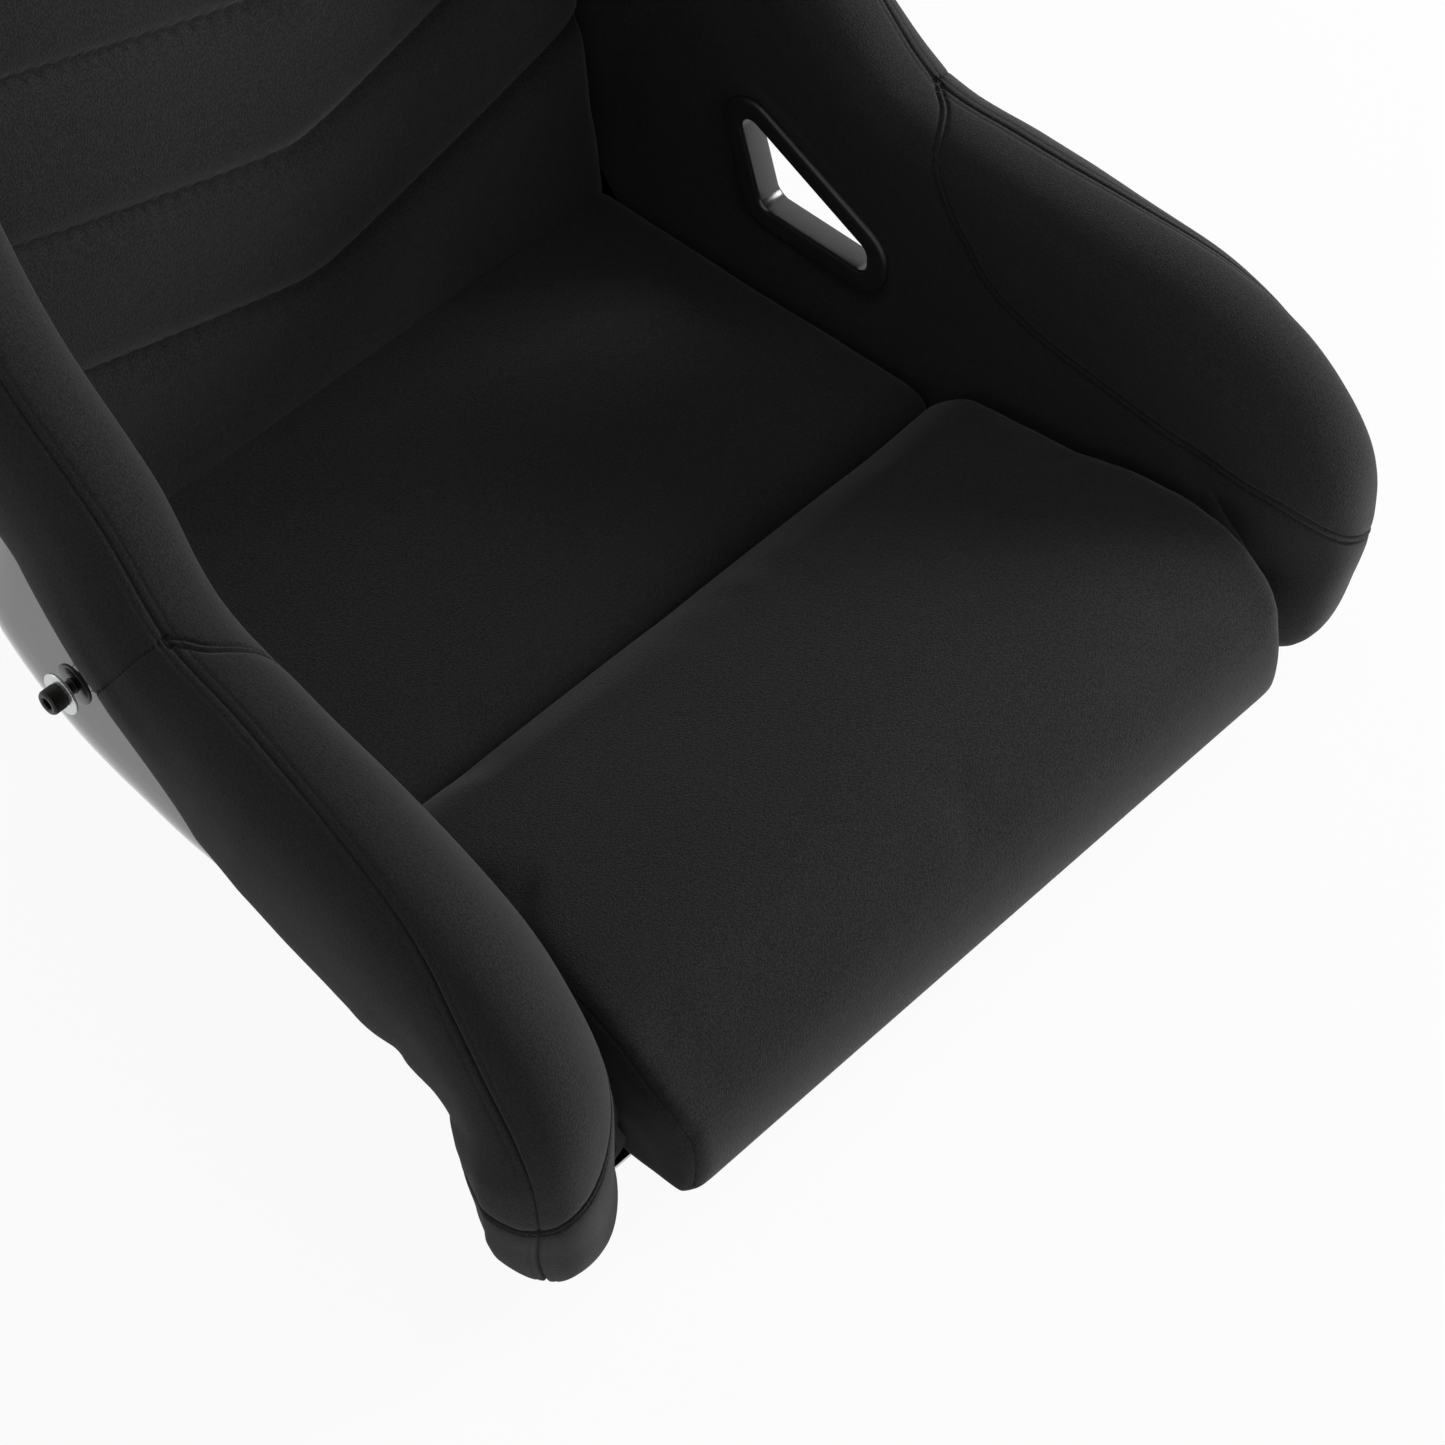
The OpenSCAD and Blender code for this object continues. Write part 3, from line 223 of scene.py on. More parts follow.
@dataclass(frozen=True)
class SeatForm:
    """The curves that every piece is drawn on, in millimetres, as the part's source has them."""

    lip_y: float = -218.0
    lip_z: float = 25.5
    ramp_power: float = 1.45
    flat_front_y: float = -130.0
    flat_rear_y: float = 100.0
    hip_r: float = 130.0
    back_lean: float = 7.0
    back_bow: float = 30.0
    top_z: float = 868.0
    shell_t: float = 4.5
    flank_x: float = 220.0
    roll_over: float = 21.0
    roll_r: float = 28.5
    belly: float = 2.5
    gap: float = 0.3
    ridge: tuple = (
        (252, -229, 8), (253, -244, 25), (256, -249.5, 56), (261, -249.5, 95), (260, -239, 140),
        (257, -204, 180), (251, -158, 202.5), (243, -100, 215.5), (238, -42.5, 224.5), (234, 8, 233.5),
        (229, 47, 272.5), (228.5, 100, 320), (228, 131.5, 367), (229, 147, 421), (236, 154, 481),
        (250, 150, 550), (241, 163, 608), (200, 206, 654), (149, 246, 694), (127, 261, 742),
        (124, 268, 792), (108, 296, 848), (62, 328, 884),
    )
    half_w: tuple = (226,) * 3 + (223, 221) + (220,) * 7 + (
        208, 208, 210, 216, 224, 190, 138, 118, 112, 98, 58)
    corner: tuple = (10, 10, 10, 11, 12, 13, 15, 20, 28, 42, 55) + (60,) * 6 + (55, 45, 40, 38, 34, 20)
    straight: tuple = (0.5,) * 4 + (0.6, 0.72, 0.74, 0.72, 0.75, 0.78, 0.72, 0.5, 0.3) + (0.2,) * 10
    skirt: tuple = (38, 46, 56, 58, 64, 80, 88, 90, 84, 60, 70, 78) + (84,) * 4 + (80, 70, 60, 58, 56, 52, 48)
    leg: tuple = (32, 36, 42, 48, 50, 52, 56, 56, 52, 42, 44, 50, 56, 56, 56, 56, 56, 50, 46, 46, 46, 44, 42)
    tuck: tuple = (1,) * 4 + (0.9, 0.5, 0.15) + (0,) * 10 + (0.2, 0.4) + (0.5,) * 4
    girth: tuple = (0.66, 1.02, 1.12, 1.07, 1.01) + (1,) * 18
    # Across each roll from its ridge to the long seam between the inner and the outer panel.
    seam_across: tuple = (12, 20, 24, 22, 23, 21.5, 17.5, 15.5, 12.3, 11.4, 13.5) + (14,) * 5 + (
        12, 10, 9, 8, 8, 7, 6)
    crown_station: float = 22.0

    @property
    def hip_end(self) -> Point:
        """Where the hip bend ends and the back begins, as y and z."""
        a = math.radians(self.back_lean)
        return self.flat_rear_y + self.hip_r * math.cos(a), self.hip_r * (1 - math.sin(a))

    def pan(self, y: float) -> Point:
        """Underside of the pan at y."""
        if y >= self.flat_front_y:
            return y, 0.0
        f = (self.flat_front_y - y) / (self.flat_front_y - self.lip_y)
        return y, self.lip_z * f**self.ramp_power

    def hip(self, degrees: float) -> Point:
        """Underside of the hip bend at an angle."""
        a = math.radians(degrees)
        return self.flat_rear_y + self.hip_r * math.sin(a), self.hip_r * (1 - math.cos(a))

    def back_y(self, z: float) -> float:
        """Rear face of the back at height z."""
        y0, z0 = self.hip_end
        f = (z - z0) / (self.top_z - z0)
        return y0 + math.tan(math.radians(self.back_lean)) * (z - z0) + self.back_bow * f * f

    def back(self, share: float) -> Point:
        """Rear face of the back at a share of its height."""
        z = self.hip_end[1] + share * (self.top_z - self.hip_end[1])
        return self.back_y(z), z

    @cached_property
    def ridge_rows(self) -> list[list[float]]:
        """The ridge's x, y and z, each as a list over the stations."""
        return [[float(p[k]) for p in self.ridge] for k in range(3)]

    @cached_property
    def base_rows(self) -> list[list[float]]:
        """The shell's base line at each station, as a list of y and a list of z."""
        line = [self.pan(y) for y in (-218, -218, -218, -213, -203, -182, -149, -95, -30, 50)]
        line += [self.hip(a) for a in (12, 45, 90 - self.back_lean)]
        line += [self.back(share)
                 for share in (0.115, 0.233, 0.366, 0.485, 0.59, 0.684, 0.777, 0.87, 0.968, 1.0)]
        return [[q[k] for q in line] for k in range(2)]

    @lru_cache(maxsize=8192)
    def ridge_at(self, s: float) -> np.ndarray:
        """Top of the roll at a station."""
        return np.array([curve(row, s) for row in self.ridge_rows])

    def inward(self, s: float) -> np.ndarray:
        """Direction from the ridge into the wall."""
        a = self.ridge_at(clamp(s - 0.06, 0, self.crown_station))
        b = self.ridge_at(clamp(s + 0.06, 0, self.crown_station))
        return unit(np.array([0, b[2] - a[2], a[1] - b[1]]))

    def rim_at(self, s: float) -> np.ndarray:
        """The shell's rim under the roll, as y and z."""
        return (self.ridge_at(s) + self.roll_over * self.inward(s))[1:]

    def base_at(self, s: float) -> np.ndarray:
        """The shell's base line, as y and z."""
        y_row, z_row = self.base_rows
        return np.array([curve(y_row, s), max(curve(z_row, s), 0)])

    @lru_cache(maxsize=4096)
    def wall_run(self, s: float) -> tuple[np.ndarray, np.ndarray, float]:
        """Base point, direction and height of a shell section."""
        b, r = self.base_at(s), self.rim_at(s)
        return b, unit(r - b), float(np.linalg.norm(r - b))

    @lru_cache(maxsize=4096)
    def slant(self, s: float) -> float:
        """Stretch of an offset along a section that keeps its depth square to the base line."""
        a = self.base_at(clamp(s - 0.1, 0, self.crown_station))
        b = self.base_at(clamp(s + 0.1, 2.1, self.crown_station))
        e = self.wall_run(s)[1]
        run = float(np.linalg.norm(b - a))
        t = np.array([1.0, 0.0]) if run < 0.01 else (b - a) / run
        return 1 / clamp(float(e @ np.array([-t[1], t[0]])), 0.33, 1)

    def flare_x(self, s: float, share: float) -> float:
        """Outer face of the wall at a share of its height."""
        w, r, g = eased(self.half_w, s), self.ridge_at(s)[0] + self.shell_t / 2, eased(self.straight, s)
        return w + (r - w) * clamp((share - g) / (1 - g), 0, 1.3) ** 1.5

    def wall_point(self, s: float, h: float, tall: float, off: float) -> Point:
        """Point of a wall at height h, pushed in by an offset."""
        n = unit(np.array([2, self.flare_x(s, (h - 1) / tall) - self.flare_x(s, (h + 1) / tall)]))
        return self.flare_x(s, h / tall) - off * n[0], h - off * n[1]

    def corner_r(self, s: float, tall: float) -> float:
        """Radius of the long lower corner at a station."""
        return min(eased(self.corner, s), 0.6 * tall)

    def side_point(self, s: float, h: float, off: float) -> Point:
        """Point on the side of a section at height h, pushed in by an offset."""
        tall = self.wall_run(s)[2]
        rc, w = self.corner_r(s, tall), eased(self.half_w, s)
        if h < rc:
            a = math.acos(clamp(1 - h / rc, -1, 1))
            return w - rc + (rc - off) * math.sin(a), h + off * self.slant(s) * math.cos(a)
        return self.wall_point(s, h, tall, off)

    def half_section(self, s: float, off: float, wall: int = 22) -> list[Point]:
        """Half a shell section from the middle towards the rim, with a number of its 22 wall points."""
        tall = self.wall_run(s)[2]
        rc, w, k = self.corner_r(s, tall), eased(self.half_w, s), self.slant(s)
        flat = [((w - rc) * q, off * k) for q in np.linspace(0, 1, 12)]
        bend = [(w - rc + (rc - off) * math.sin(a), rc * (1 - math.cos(a)) + off * k * math.cos(a))
                for a in np.linspace(0, math.pi / 2, 11)[1:]]
        up = [self.wall_point(s, rc + (tall - rc) * q, tall, off) for q in np.linspace(0, 1, 23)[1:wall + 1]]
        return flat + bend + up

    def whole_ring(self, s: float, front: list[Point], rear: list[Point]) -> np.ndarray:
        """One closed outline in space, from two half sections and their mirror images."""
        ring = [(-x, h) for x, h in front[:0:-1]] + front + rear[::-1] + [(-x, h) for x, h in rear[1:]]
        return np.array([self.place(s, p) for p in ring])

    def place(self, s: float, p: Point) -> np.ndarray:
        """Puts a section's point in space."""
        b, e, _ = self.wall_run(s)
        return np.array([p[0], b[0] + e[0] * p[1], b[1] + e[1] * p[1]])

    def pad_half(self, y: float) -> float:
        """Half width of the cushions at y, which widen from their joint to the nose."""
        return PAD_HALF + PAD_FLARE * clamp((JOINT_Y - y) / (JOINT_Y + 236), 0, 1)

    def liner_depth(self, s: float, h: float, thick: float) -> float:
        """Foam depth of the side liner at height h of a section."""
        b, e, tall = self.wall_run(s)
        y, z = b + e * h
        rc, w = self.corner_r(s, tall), eased(self.half_w, s)
        inner, skin = self.pad_half(y) + 0.8, self.shell_t + self.gap
        pad_t = w - skin - inner
        top_t = min(thick, pad_t - 0.3)
        # Beside the cushions, below 150 mm, the liner fills the whole gap.
        swell = ease((150 - z) / 53) if s < 11.5 else 0
        depth = max(top_t, 3) + max(pad_t - top_t, 0) * swell
        if h < rc:
            sine = math.sin(math.acos(clamp(1 - h / rc, -1, 1)))
            depth = min(depth, rc - skin - (inner - (w - rc)) / max(sine, 0.05))
        return max(depth, 0.5)

    def roll_outline(self, s: float) -> list[Point]:
        """A roll's section as distance across the ridge and depth into the wall, from the inner leg."""
        d, k = eased(self.skirt, s), eased(self.leg, s)
        r, q = self.roll_r * eased(self.girth, s), eased(self.tuck, s)
        h = min(d * 0.6, r * (1.75 - 0.45 * q))
        belly = self.belly * (1 - q)
        m = eased(self.half_w, s) - self.ridge_at(s)[0] - self.shell_t / 2
        return [
            (-r, k), (-r, r * 0.95), (-r * 0.85, r * 0.44), (-r * 0.5, r * 0.11), (0, 0), (r * 0.5, r * 0.11),
            (r * 0.85, r * 0.49), (r + belly * 0.3, r), (r * (1 - 0.06 * q) + belly, h),
            (r * (1 - 0.3 * q) + belly * 0.4, h + (d - h) * 0.6), (r * (0.75 - 0.55 * q), d),
            (r * (0.4 - 0.5 * q), d + 5 - 3 * q), (max(min(m, r * 0.2), -r * 0.7), d + 4),
            (max(min(m - 2, 0) * 0.5 - r * 0.5, -r * 0.95), (d + k) / 2),
        ]

    def on_roll(self, s: float, p: Point) -> np.ndarray:
        """Puts a point of a roll's section in space."""
        return self.ridge_at(s) + np.array([p[0], 0, 0]) + self.inward(s) * p[1]


FORM = SeatForm()
# The cushions' half width and how much it grows at the nose, and the joint between the two seat pads.
PAD_HALF, PAD_FLARE = 190, 18
JOINT_Y, JOINT_Z = -46.5, 96.7
# Height of the pads over the pan's underside: the laminate, two tapes and a clearance.
PAN_LIFT = FORM.shell_t + 2 * 1.2 + 0.3
# The lap belt opening's corners as y and z.
LAP_CORNERS: list[Point] = [(101, 189), (12.4, 146), (12.4, 130), (83, 130)]
# The shoulder belt openings' place, width, height and corner radius.
BELT_X, BELT_Z, BELT_W, BELT_H, BELT_R = 61.0, 652.0, 62.0, 42.0, 12.0
BOLT_Z = 98.0


# ---- meshes ----------------------------------------------------------------------------------


def start_ring(bm: bmesh.types.BMesh, points: np.ndarray) -> list[bmesh.types.BMVert]:
    """Draws the first outline of a loft."""
    verts = [bm.verts.new(Vector(p)) for p in points]
    for pair in around(verts):
        bm.edges.new(pair)
    return verts


def around(ring: list) -> list[tuple]:
    """Neighbours in a closed ring, as pairs."""
    return list(zip(ring, ring[1:] + ring[:1]))


def extrude_ring(bm: bmesh.types.BMesh, ring: list, points: np.ndarray) -> list[bmesh.types.BMVert]:
    """Extrudes a closed outline's edges and moves the new outline onto the given points.

    Args:
        bm: The mesh.
        ring: The outline's vertices in order.
        points: Where the new vertices go, in the same order.

    Returns:
        The new outline's vertices in order.
    """
    edges = [bm.edges.get(pair) for pair in around(ring)]
    geom = bmesh.ops.extrude_edge_only(bm, edges=edges)["geom"]
    made = {g for g in geom if isinstance(g, bmesh.types.BMVert)}
    new = [next(e.other_vert(v) for e in v.link_edges if e.other_vert(v) in made) for v in ring]
    for v, p in zip(new, points):
        v.co = Vector(p)
    return new


def loft(rings: Sequence[np.ndarray], endless: bool = False) -> bmesh.types.BMesh:
    """Extrudes a closed outline from station to station.

    Args:
        rings: The outlines in millimetres, all with the same number of points.
        endless: Whether the last outline is joined to the first, as in a frame. Otherwise both get a cap.

    Returns:
        A closed mesh in metres with outward faces.
    """
    bm = bmesh.new()
    first = ring = start_ring(bm, rings[0] * MM)
    for points in rings[1:]:
        ring = extrude_ring(bm, ring, points * MM)
    loops = [[bm.edges.get(pair) for pair in around(end)] for end in (first, ring)]
    if endless:
        bmesh.ops.bridge_loops(bm, edges=loops[0] + loops[1])
    else:
        for end, loop in zip((first, ring), loops):
            faces = bmesh.ops.contextual_create(bm, geom=end + loop)["faces"]
            bmesh.ops.triangulate(bm, faces=faces)
    bmesh.ops.recalc_face_normals(bm, faces=bm.faces)
    return bm


def mirrored(bm: bmesh.types.BMesh, side: Side) -> bmesh.types.BMesh:
    """Turns a right-hand mesh into the one for a side."""
    if side is Side.LEFT:
        bmesh.ops.scale(bm, vec=(-1, 1, 1), verts=bm.verts)
        bmesh.ops.reverse_faces(bm, faces=bm.faces)
    return bm


def stored(bm: bmesh.types.BMesh, name: str) -> bpy.types.Object:
    """Puts a mesh into a new object of the scene, and frees it."""
    mesh = bpy.data.meshes.new(name)
    bm.to_mesh(mesh)
    bm.free()
    obj = bpy.data.objects.new(name, mesh)
    bpy.context.scene.collection.objects.link(obj)
    return obj


def reshape(obj: bpy.types.Object, change: Callable[[bmesh.types.BMesh], object]) -> None:
    """Applies a change to an object's own mesh."""
    bm = bmesh.new()
    bm.from_mesh(obj.data)
    change(bm)
    bm.to_mesh(obj.data)
    bm.free()


def crease_edges(bm: bmesh.types.BMesh, degrees: float) -> None:
    """Marks edges that turn more than an angle as sharp, and shades the rest smooth."""
    limit = math.radians(degrees)
    for f in bm.faces:
        f.smooth = True
    for e in bm.edges:
        e.smooth = not (len(e.link_faces) == 2 and e.calc_face_angle(0) > limit)


@dataclass
class Piece:
    """One finished object and what the frame has to know about it."""

    name: str
    finish: "Finish"
    slot: str
    body: str = "seat"
    replaces: tuple[str, ...] = ()
    padded: float | None = None
    sharp: float = 40.0

    def build(self, bm: bmesh.types.BMesh) -> bpy.types.Object:
        """Args:
            bm: The finished mesh in metres, which is freed.

        Returns:
            The new object.
        """
        crease_edges(bm, self.sharp)
        obj = stored(bm, self.name)
        obj.data.materials.append(self.finish.material())
        self.declare(obj)
        return obj

    def declare(self, obj: bpy.types.Object) -> None:
        """Parents the object to its body's empty and hides the nodes that it replaces."""
        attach(obj, self.body)
        if self.replaces:
            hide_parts(*self.replaces)
        log.info("%s: %d faces", self.name, len(obj.data.polygons))


def cover(name: str, slot: str, replaces: tuple[str, ...], sharp: float) -> Piece:
    """A knit cover over foam, which fills nine tenths of its space."""
    return Piece(name, FABRIC, slot, replaces=replaces, padded=0.9, sharp=sharp)


# ---- finishes ---------------------------------------------------------------------------------


def colour(code: str) -> tuple[float, float, float, float]:
    """Turns an sRGB hex colour to linear light."""
    parts = [int(code[i:i + 2], 16) / 255 for i in (1, 3, 5)]
    linear = [c / 12.92 if c <= 0.04045 else ((c + 0.055) / 1.055) ** 2.4 for c in parts]
    return (*linear, 1.0)


def add(tree: bpy.types.NodeTree, kind: str, settings: dict | None = None, links: dict | None = None):
    """Adds a node with its settings and links.

    Args:
        tree: The material's node tree.
        kind: The node's type.
        settings: Attributes by name, and socket values by "in:NAME" or "in:INDEX".
        links: Output sockets by the name or index of the input that they feed.

    Returns:
        The node.
    """
    node = tree.nodes.new(kind)
    for key, value in (settings or {}).items():
        if key.startswith("in:"):
            name = key[3:]
            node.inputs[int(name) if name.isdigit() else name].default_value = value
        else:
            setattr(node, key, value)
    for key, socket in (links or {}).items():
        tree.links.new(socket, node.inputs[key])
    return node


@dataclass(frozen=True)
class Finish:
    """A surface finish, made once and shared."""

    name: str = "finish"

    def material(self) -> bpy.types.Material:
        """The finish's material, made on first use."""
        found = bpy.data.materials.get(self.name)
        if found:
            return found
        mat = bpy.data.materials.new(self.name)
        mat.use_nodes = True
        tree = mat.node_tree
        tree.nodes.clear()
        shader = self.shade(tree)
        add(tree, "ShaderNodeOutputMaterial", links={"Surface": shader.outputs[0]})
        return mat

    def shade(self, tree: bpy.types.NodeTree):
        """Builds the shader's nodes and returns the last one."""
        raise NotImplementedError


@dataclass(frozen=True)
class KnitFabric(Finish):
    """Warp-knit polyester laminated to thin foam: near black, with a short nap over small stitches."""

    name: str = "warp_knit_polyester"
    dark: str = "#0c0c0d"
    light: str = "#262627"
    stitch_mm: float = 0.9
    relief: float = 0.35

    def shade(self, tree: bpy.types.NodeTree):
        """Cells draw the stitches, and soft noise varies the nap."""
        coords = add(tree, "ShaderNodeTexCoord").outputs["Object"]
        nap = add(tree, "ShaderNodeTexNoise", {"in:Scale": 900.0, "in:Detail": 2.0, "in:Roughness": 0.7},
                  {"Vector": coords})
        cloud = add(tree, "ShaderNodeTexNoise", {"in:Scale": 16.0, "in:Detail": 3.0}, {"Vector": coords})
        # One cell to a stitch.
        stitches = add(tree, "ShaderNodeTexVoronoi",
                       {"in:Scale": 1 / (self.stitch_mm * MM), "in:Randomness": 0.75}, {"Vector": coords})
        rough = add(tree, "ShaderNodeMath", {"operation": "MULTIPLY_ADD", "in:1": 0.5},
                    {0: nap.outputs["Fac"], 2: stitches.outputs["Distance"]})
        tone = add(tree, "ShaderNodeMath", {"operation": "MULTIPLY_ADD", "in:1": 0.12},
                   {0: cloud.outputs["Fac"], 2: nap.outputs["Fac"]})
        ramp = add(tree, "ShaderNodeValToRGB", links={"Fac": tone.outputs[0]})
        ramp.color_ramp.elements[0].position = 0.42
        ramp.color_ramp.elements[0].color = colour(self.dark)
        ramp.color_ramp.elements[1].position = 0.7
        ramp.color_ramp.elements[1].color = colour(self.light)
        bump = add(tree, "ShaderNodeBump", {"in:Strength": self.relief, "in:Distance": 0.0006},
                   {"Height": rough.outputs[0]})
        return add(tree, "ShaderNodeBsdfPrincipled", {
            "in:Roughness": 0.92, "in:Specular IOR Level": 0.25, "in:Sheen Weight": 0.22,
            "in:Sheen Roughness": 0.45, "in:Sheen Tint": colour("#cacacb")},
            {"Base Color": ramp.outputs["Color"], "Normal": bump.outputs[0]})


@dataclass(frozen=True)
class Gelcoat(Finish):
    """Black polyester gelcoat over glass laminate: glossy, a little wavy, with fine polishing marks."""

    name: str = "black_gelcoat"
    base: str = "#38383a"
    rough: float = 0.12

    def shade(self, tree: bpy.types.NodeTree):
        """Long-wave orange peel from the mould, and a faint haze that follows the polishing."""
        coords = add(tree, "ShaderNodeTexCoord").outputs["Object"]
        peel = add(tree, "ShaderNodeTexNoise", {"in:Scale": 60.0, "in:Detail": 2.0}, {"Vector": coords})
        long_way = add(tree, "ShaderNodeMapping", {"in:Scale": (40.0, 3.0, 40.0)}, {"Vector": coords})
        haze = add(tree, "ShaderNodeTexNoise", {"in:Scale": 3.0, "in:Detail": 5.0},
                   {"Vector": long_way.outputs[0]})
        rough = add(tree, "ShaderNodeMapRange",
                    {"in:To Min": self.rough * 0.75, "in:To Max": self.rough * 1.5},
                    {"Value": haze.outputs["Fac"]})
        bump = add(tree, "ShaderNodeBump", {"in:Strength": 0.12, "in:Distance": 0.0008},
                   {"Height": peel.outputs["Fac"]})
        return add(tree, "ShaderNodeBsdfPrincipled", {
            "in:Base Color": colour(self.base), "in:IOR": 1.52, "in:Coat Weight": 0.4,
            "in:Coat Roughness": 0.05}, {"Roughness": rough.outputs[0], "Normal": bump.outputs[0]})


@dataclass(frozen=True)
class MouldedPlastic(Finish):
    """Moulded black ABS with a fine spark-eroded grain."""

    name: str = "moulded_black_abs"
    base: str = "#161617"
    rough: float = 0.5
    grain_mm: float = 0.5

    def shade(self, tree: bpy.types.NodeTree):
        """Fine grain in the relief, and a slow change in the shine."""
        coords = add(tree, "ShaderNodeTexCoord").outputs["Object"]
        grain = add(tree, "ShaderNodeTexNoise", {"in:Scale": 1000.0 / self.grain_mm, "in:Detail": 2.0},
                    {"Vector": coords})
        rub = add(tree, "ShaderNodeTexNoise", {"in:Scale": 45.0, "in:Detail": 3.0}, {"Vector": coords})
        rough = add(tree, "ShaderNodeMapRange",
                    {"in:To Min": self.rough - 0.06, "in:To Max": self.rough + 0.08},
                    {"Value": rub.outputs["Fac"]})
        bump = add(tree, "ShaderNodeBump", {"in:Strength": 0.2, "in:Distance": 0.0002},
                   {"Height": grain.outputs["Fac"]})
        return add(tree, "ShaderNodeBsdfPrincipled", {"in:Base Color": colour(self.base), "in:IOR": 1.53},
                   {"Roughness": rough.outputs[0], "Normal": bump.outputs[0]})


@dataclass(frozen=True)
class PlatedSteel(Finish):
    """Plated or blackened steel, turned or pressed, with fine marks from the tool."""

    name: str = "zinc_plated_steel"
    base: str = "#c9cacb"
    rough: float = 0.28
    metallic: float = 1.0

    def shade(self, tree: bpy.types.NodeTree):
        """Fine scratches and blotches in the shine."""
        coords = add(tree, "ShaderNodeTexCoord").outputs["Object"]
        marks = add(tree, "ShaderNodeTexNoise", {"in:Scale": 900.0, "in:Detail": 3.0}, {"Vector": coords})
        rough = add(tree, "ShaderNodeMapRange",
                    {"in:To Min": self.rough * 0.7, "in:To Max": self.rough * 1.4},
                    {"Value": marks.outputs["Fac"]})
        bump = add(tree, "ShaderNodeBump", {"in:Strength": 0.1, "in:Distance": 0.0001},
                   {"Height": marks.outputs["Fac"]})
        return add(tree, "ShaderNodeBsdfPrincipled",
                   {"in:Base Color": colour(self.base), "in:Metallic": self.metallic},
                   {"Roughness": rough.outputs[0], "Normal": bump.outputs[0]})


@dataclass(frozen=True)
class Foam(Finish):
    """Open-cell polyurethane foam, cut with a knife."""

    name: str = "polyurethane_foam"
    # dark is painted shade at the middle of each cell's pit; light is the foam between pits.
    dark: str = "#2c2c2d"
    light: str = "#4a4a4b"
    cell_mm: float = 1.2

    def shade(self, tree: bpy.types.NodeTree):
        """Open cells as pits, with painted shade darkening the middle of each pit."""
        coords = add(tree, "ShaderNodeTexCoord").outputs["Object"]
        cells = add(tree, "ShaderNodeTexVoronoi", {"in:Scale": 1000.0 / self.cell_mm}, {"Vector": coords})
        # Painted shade: the colour darkens towards each cell's middle, where the bump sinks the pit.
        ramp = add(tree, "ShaderNodeValToRGB", links={"Fac": cells.outputs["Distance"]})
        ramp.color_ramp.elements[0].color = colour(self.dark)
        ramp.color_ramp.elements[1].position = 0.5
        ramp.color_ramp.elements[1].color = colour(self.light)
        bump = add(tree, "ShaderNodeBump", {"in:Strength": 0.5, "in:Distance": 0.0006},
                   {"Height": cells.outputs["Distance"]})
        return add(tree, "ShaderNodeBsdfPrincipled", {"in:Roughness": 0.95},
                   {"Base Color": ramp.outputs["Color"], "Normal": bump.outputs[0]})


@dataclass(frozen=True)
class TapeFibre(Finish):
    """Nylon hook or loop tape: a dense field of small fibres on a woven tape."""

    name: str = "nylon_loop_tape"
    # base is the tape's near-black colour, which also serves as painted shade in the gaps between tufts.
    base: str = "#161617"
    pitch_mm: float = 1.5

    def shade(self, tree: bpy.types.NodeTree):
        """One fibre tuft to each cell, with a painted highlight on its raised middle and painted shade
        between tufts.
        """
        coords = add(tree, "ShaderNodeTexCoord").outputs["Object"]
        tufts = add(tree, "ShaderNodeTexVoronoi", {"in:Scale": 1000.0 / self.pitch_mm, "in:Randomness": 0.4},
                    {"Vector": coords})
        bump = add(tree, "ShaderNodeBump", {"in:Strength": 0.8, "in:Distance": 0.0008, "invert": True},
                   {"Height": tufts.outputs["Distance"]})
        # Painted highlight and shade: lighter on each tuft's raised middle and darker in the sunken gaps,
        # following the bump.
        tone = add(tree, "ShaderNodeValToRGB", links={"Fac": tufts.outputs["Distance"]})
        tone.color_ramp.elements[0].color = colour("#2a2a2b")
        tone.color_ramp.elements[1].color = colour(self.base)
        return add(tree, "ShaderNodeBsdfPrincipled", {"in:Roughness": 0.7, "in:Sheen Weight": 0.2},
                   {"Base Color": tone.outputs["Color"], "Normal": bump.outputs[0]})


FABRIC = KnitFabric()
GELCOAT = Gelcoat()
PLASTIC = MouldedPlastic()
SATIN_PLASTIC = MouldedPlastic(name="satin_black_abs", base="#26262a", rough=0.2)
ZINC = PlatedSteel()
BLACK_STEEL = PlatedSteel(name="black_oxide_steel", base="#1c1b19", rough=0.38, metallic=0.6)
BARE_STEEL = PlatedSteel(name="turned_steel", base="#a7a8aa", rough=0.34)


# ---- seams ---------------------------------------------------------------------------------------


@dataclass(frozen=True)
class Seam:
    """A sewn line on a cover, as points in millimetres where it has its own, with the relief it leaves."""

    points: tuple = ()
    depth: float = 1.1
    width: float = 0.9
    hollow: float = 0.6
    welt: float = 0.0
    spread: float = 5.0

    def samples(self) -> np.ndarray:
        """The seam's points, 1 mm apart."""
        path = smooth_path(self.points, 10)
        return read_path(path, np.arange(0, lengths(path)[-1], 1.0))

    def relief(self, d: np.ndarray) -> np.ndarray:
        """How far the cloth sinks at a distance from the seam, in millimetres."""
        line = self.depth * np.exp(-((d / self.width) ** 2))
        if self.welt:
            line = self.depth * np.exp(-(((d - 1.7) / 0.8) ** 2)) - self.welt * np.exp(-((d / 1.1) ** 2))
        return line + self.hollow * np.exp(-((d / self.spread) ** 2))


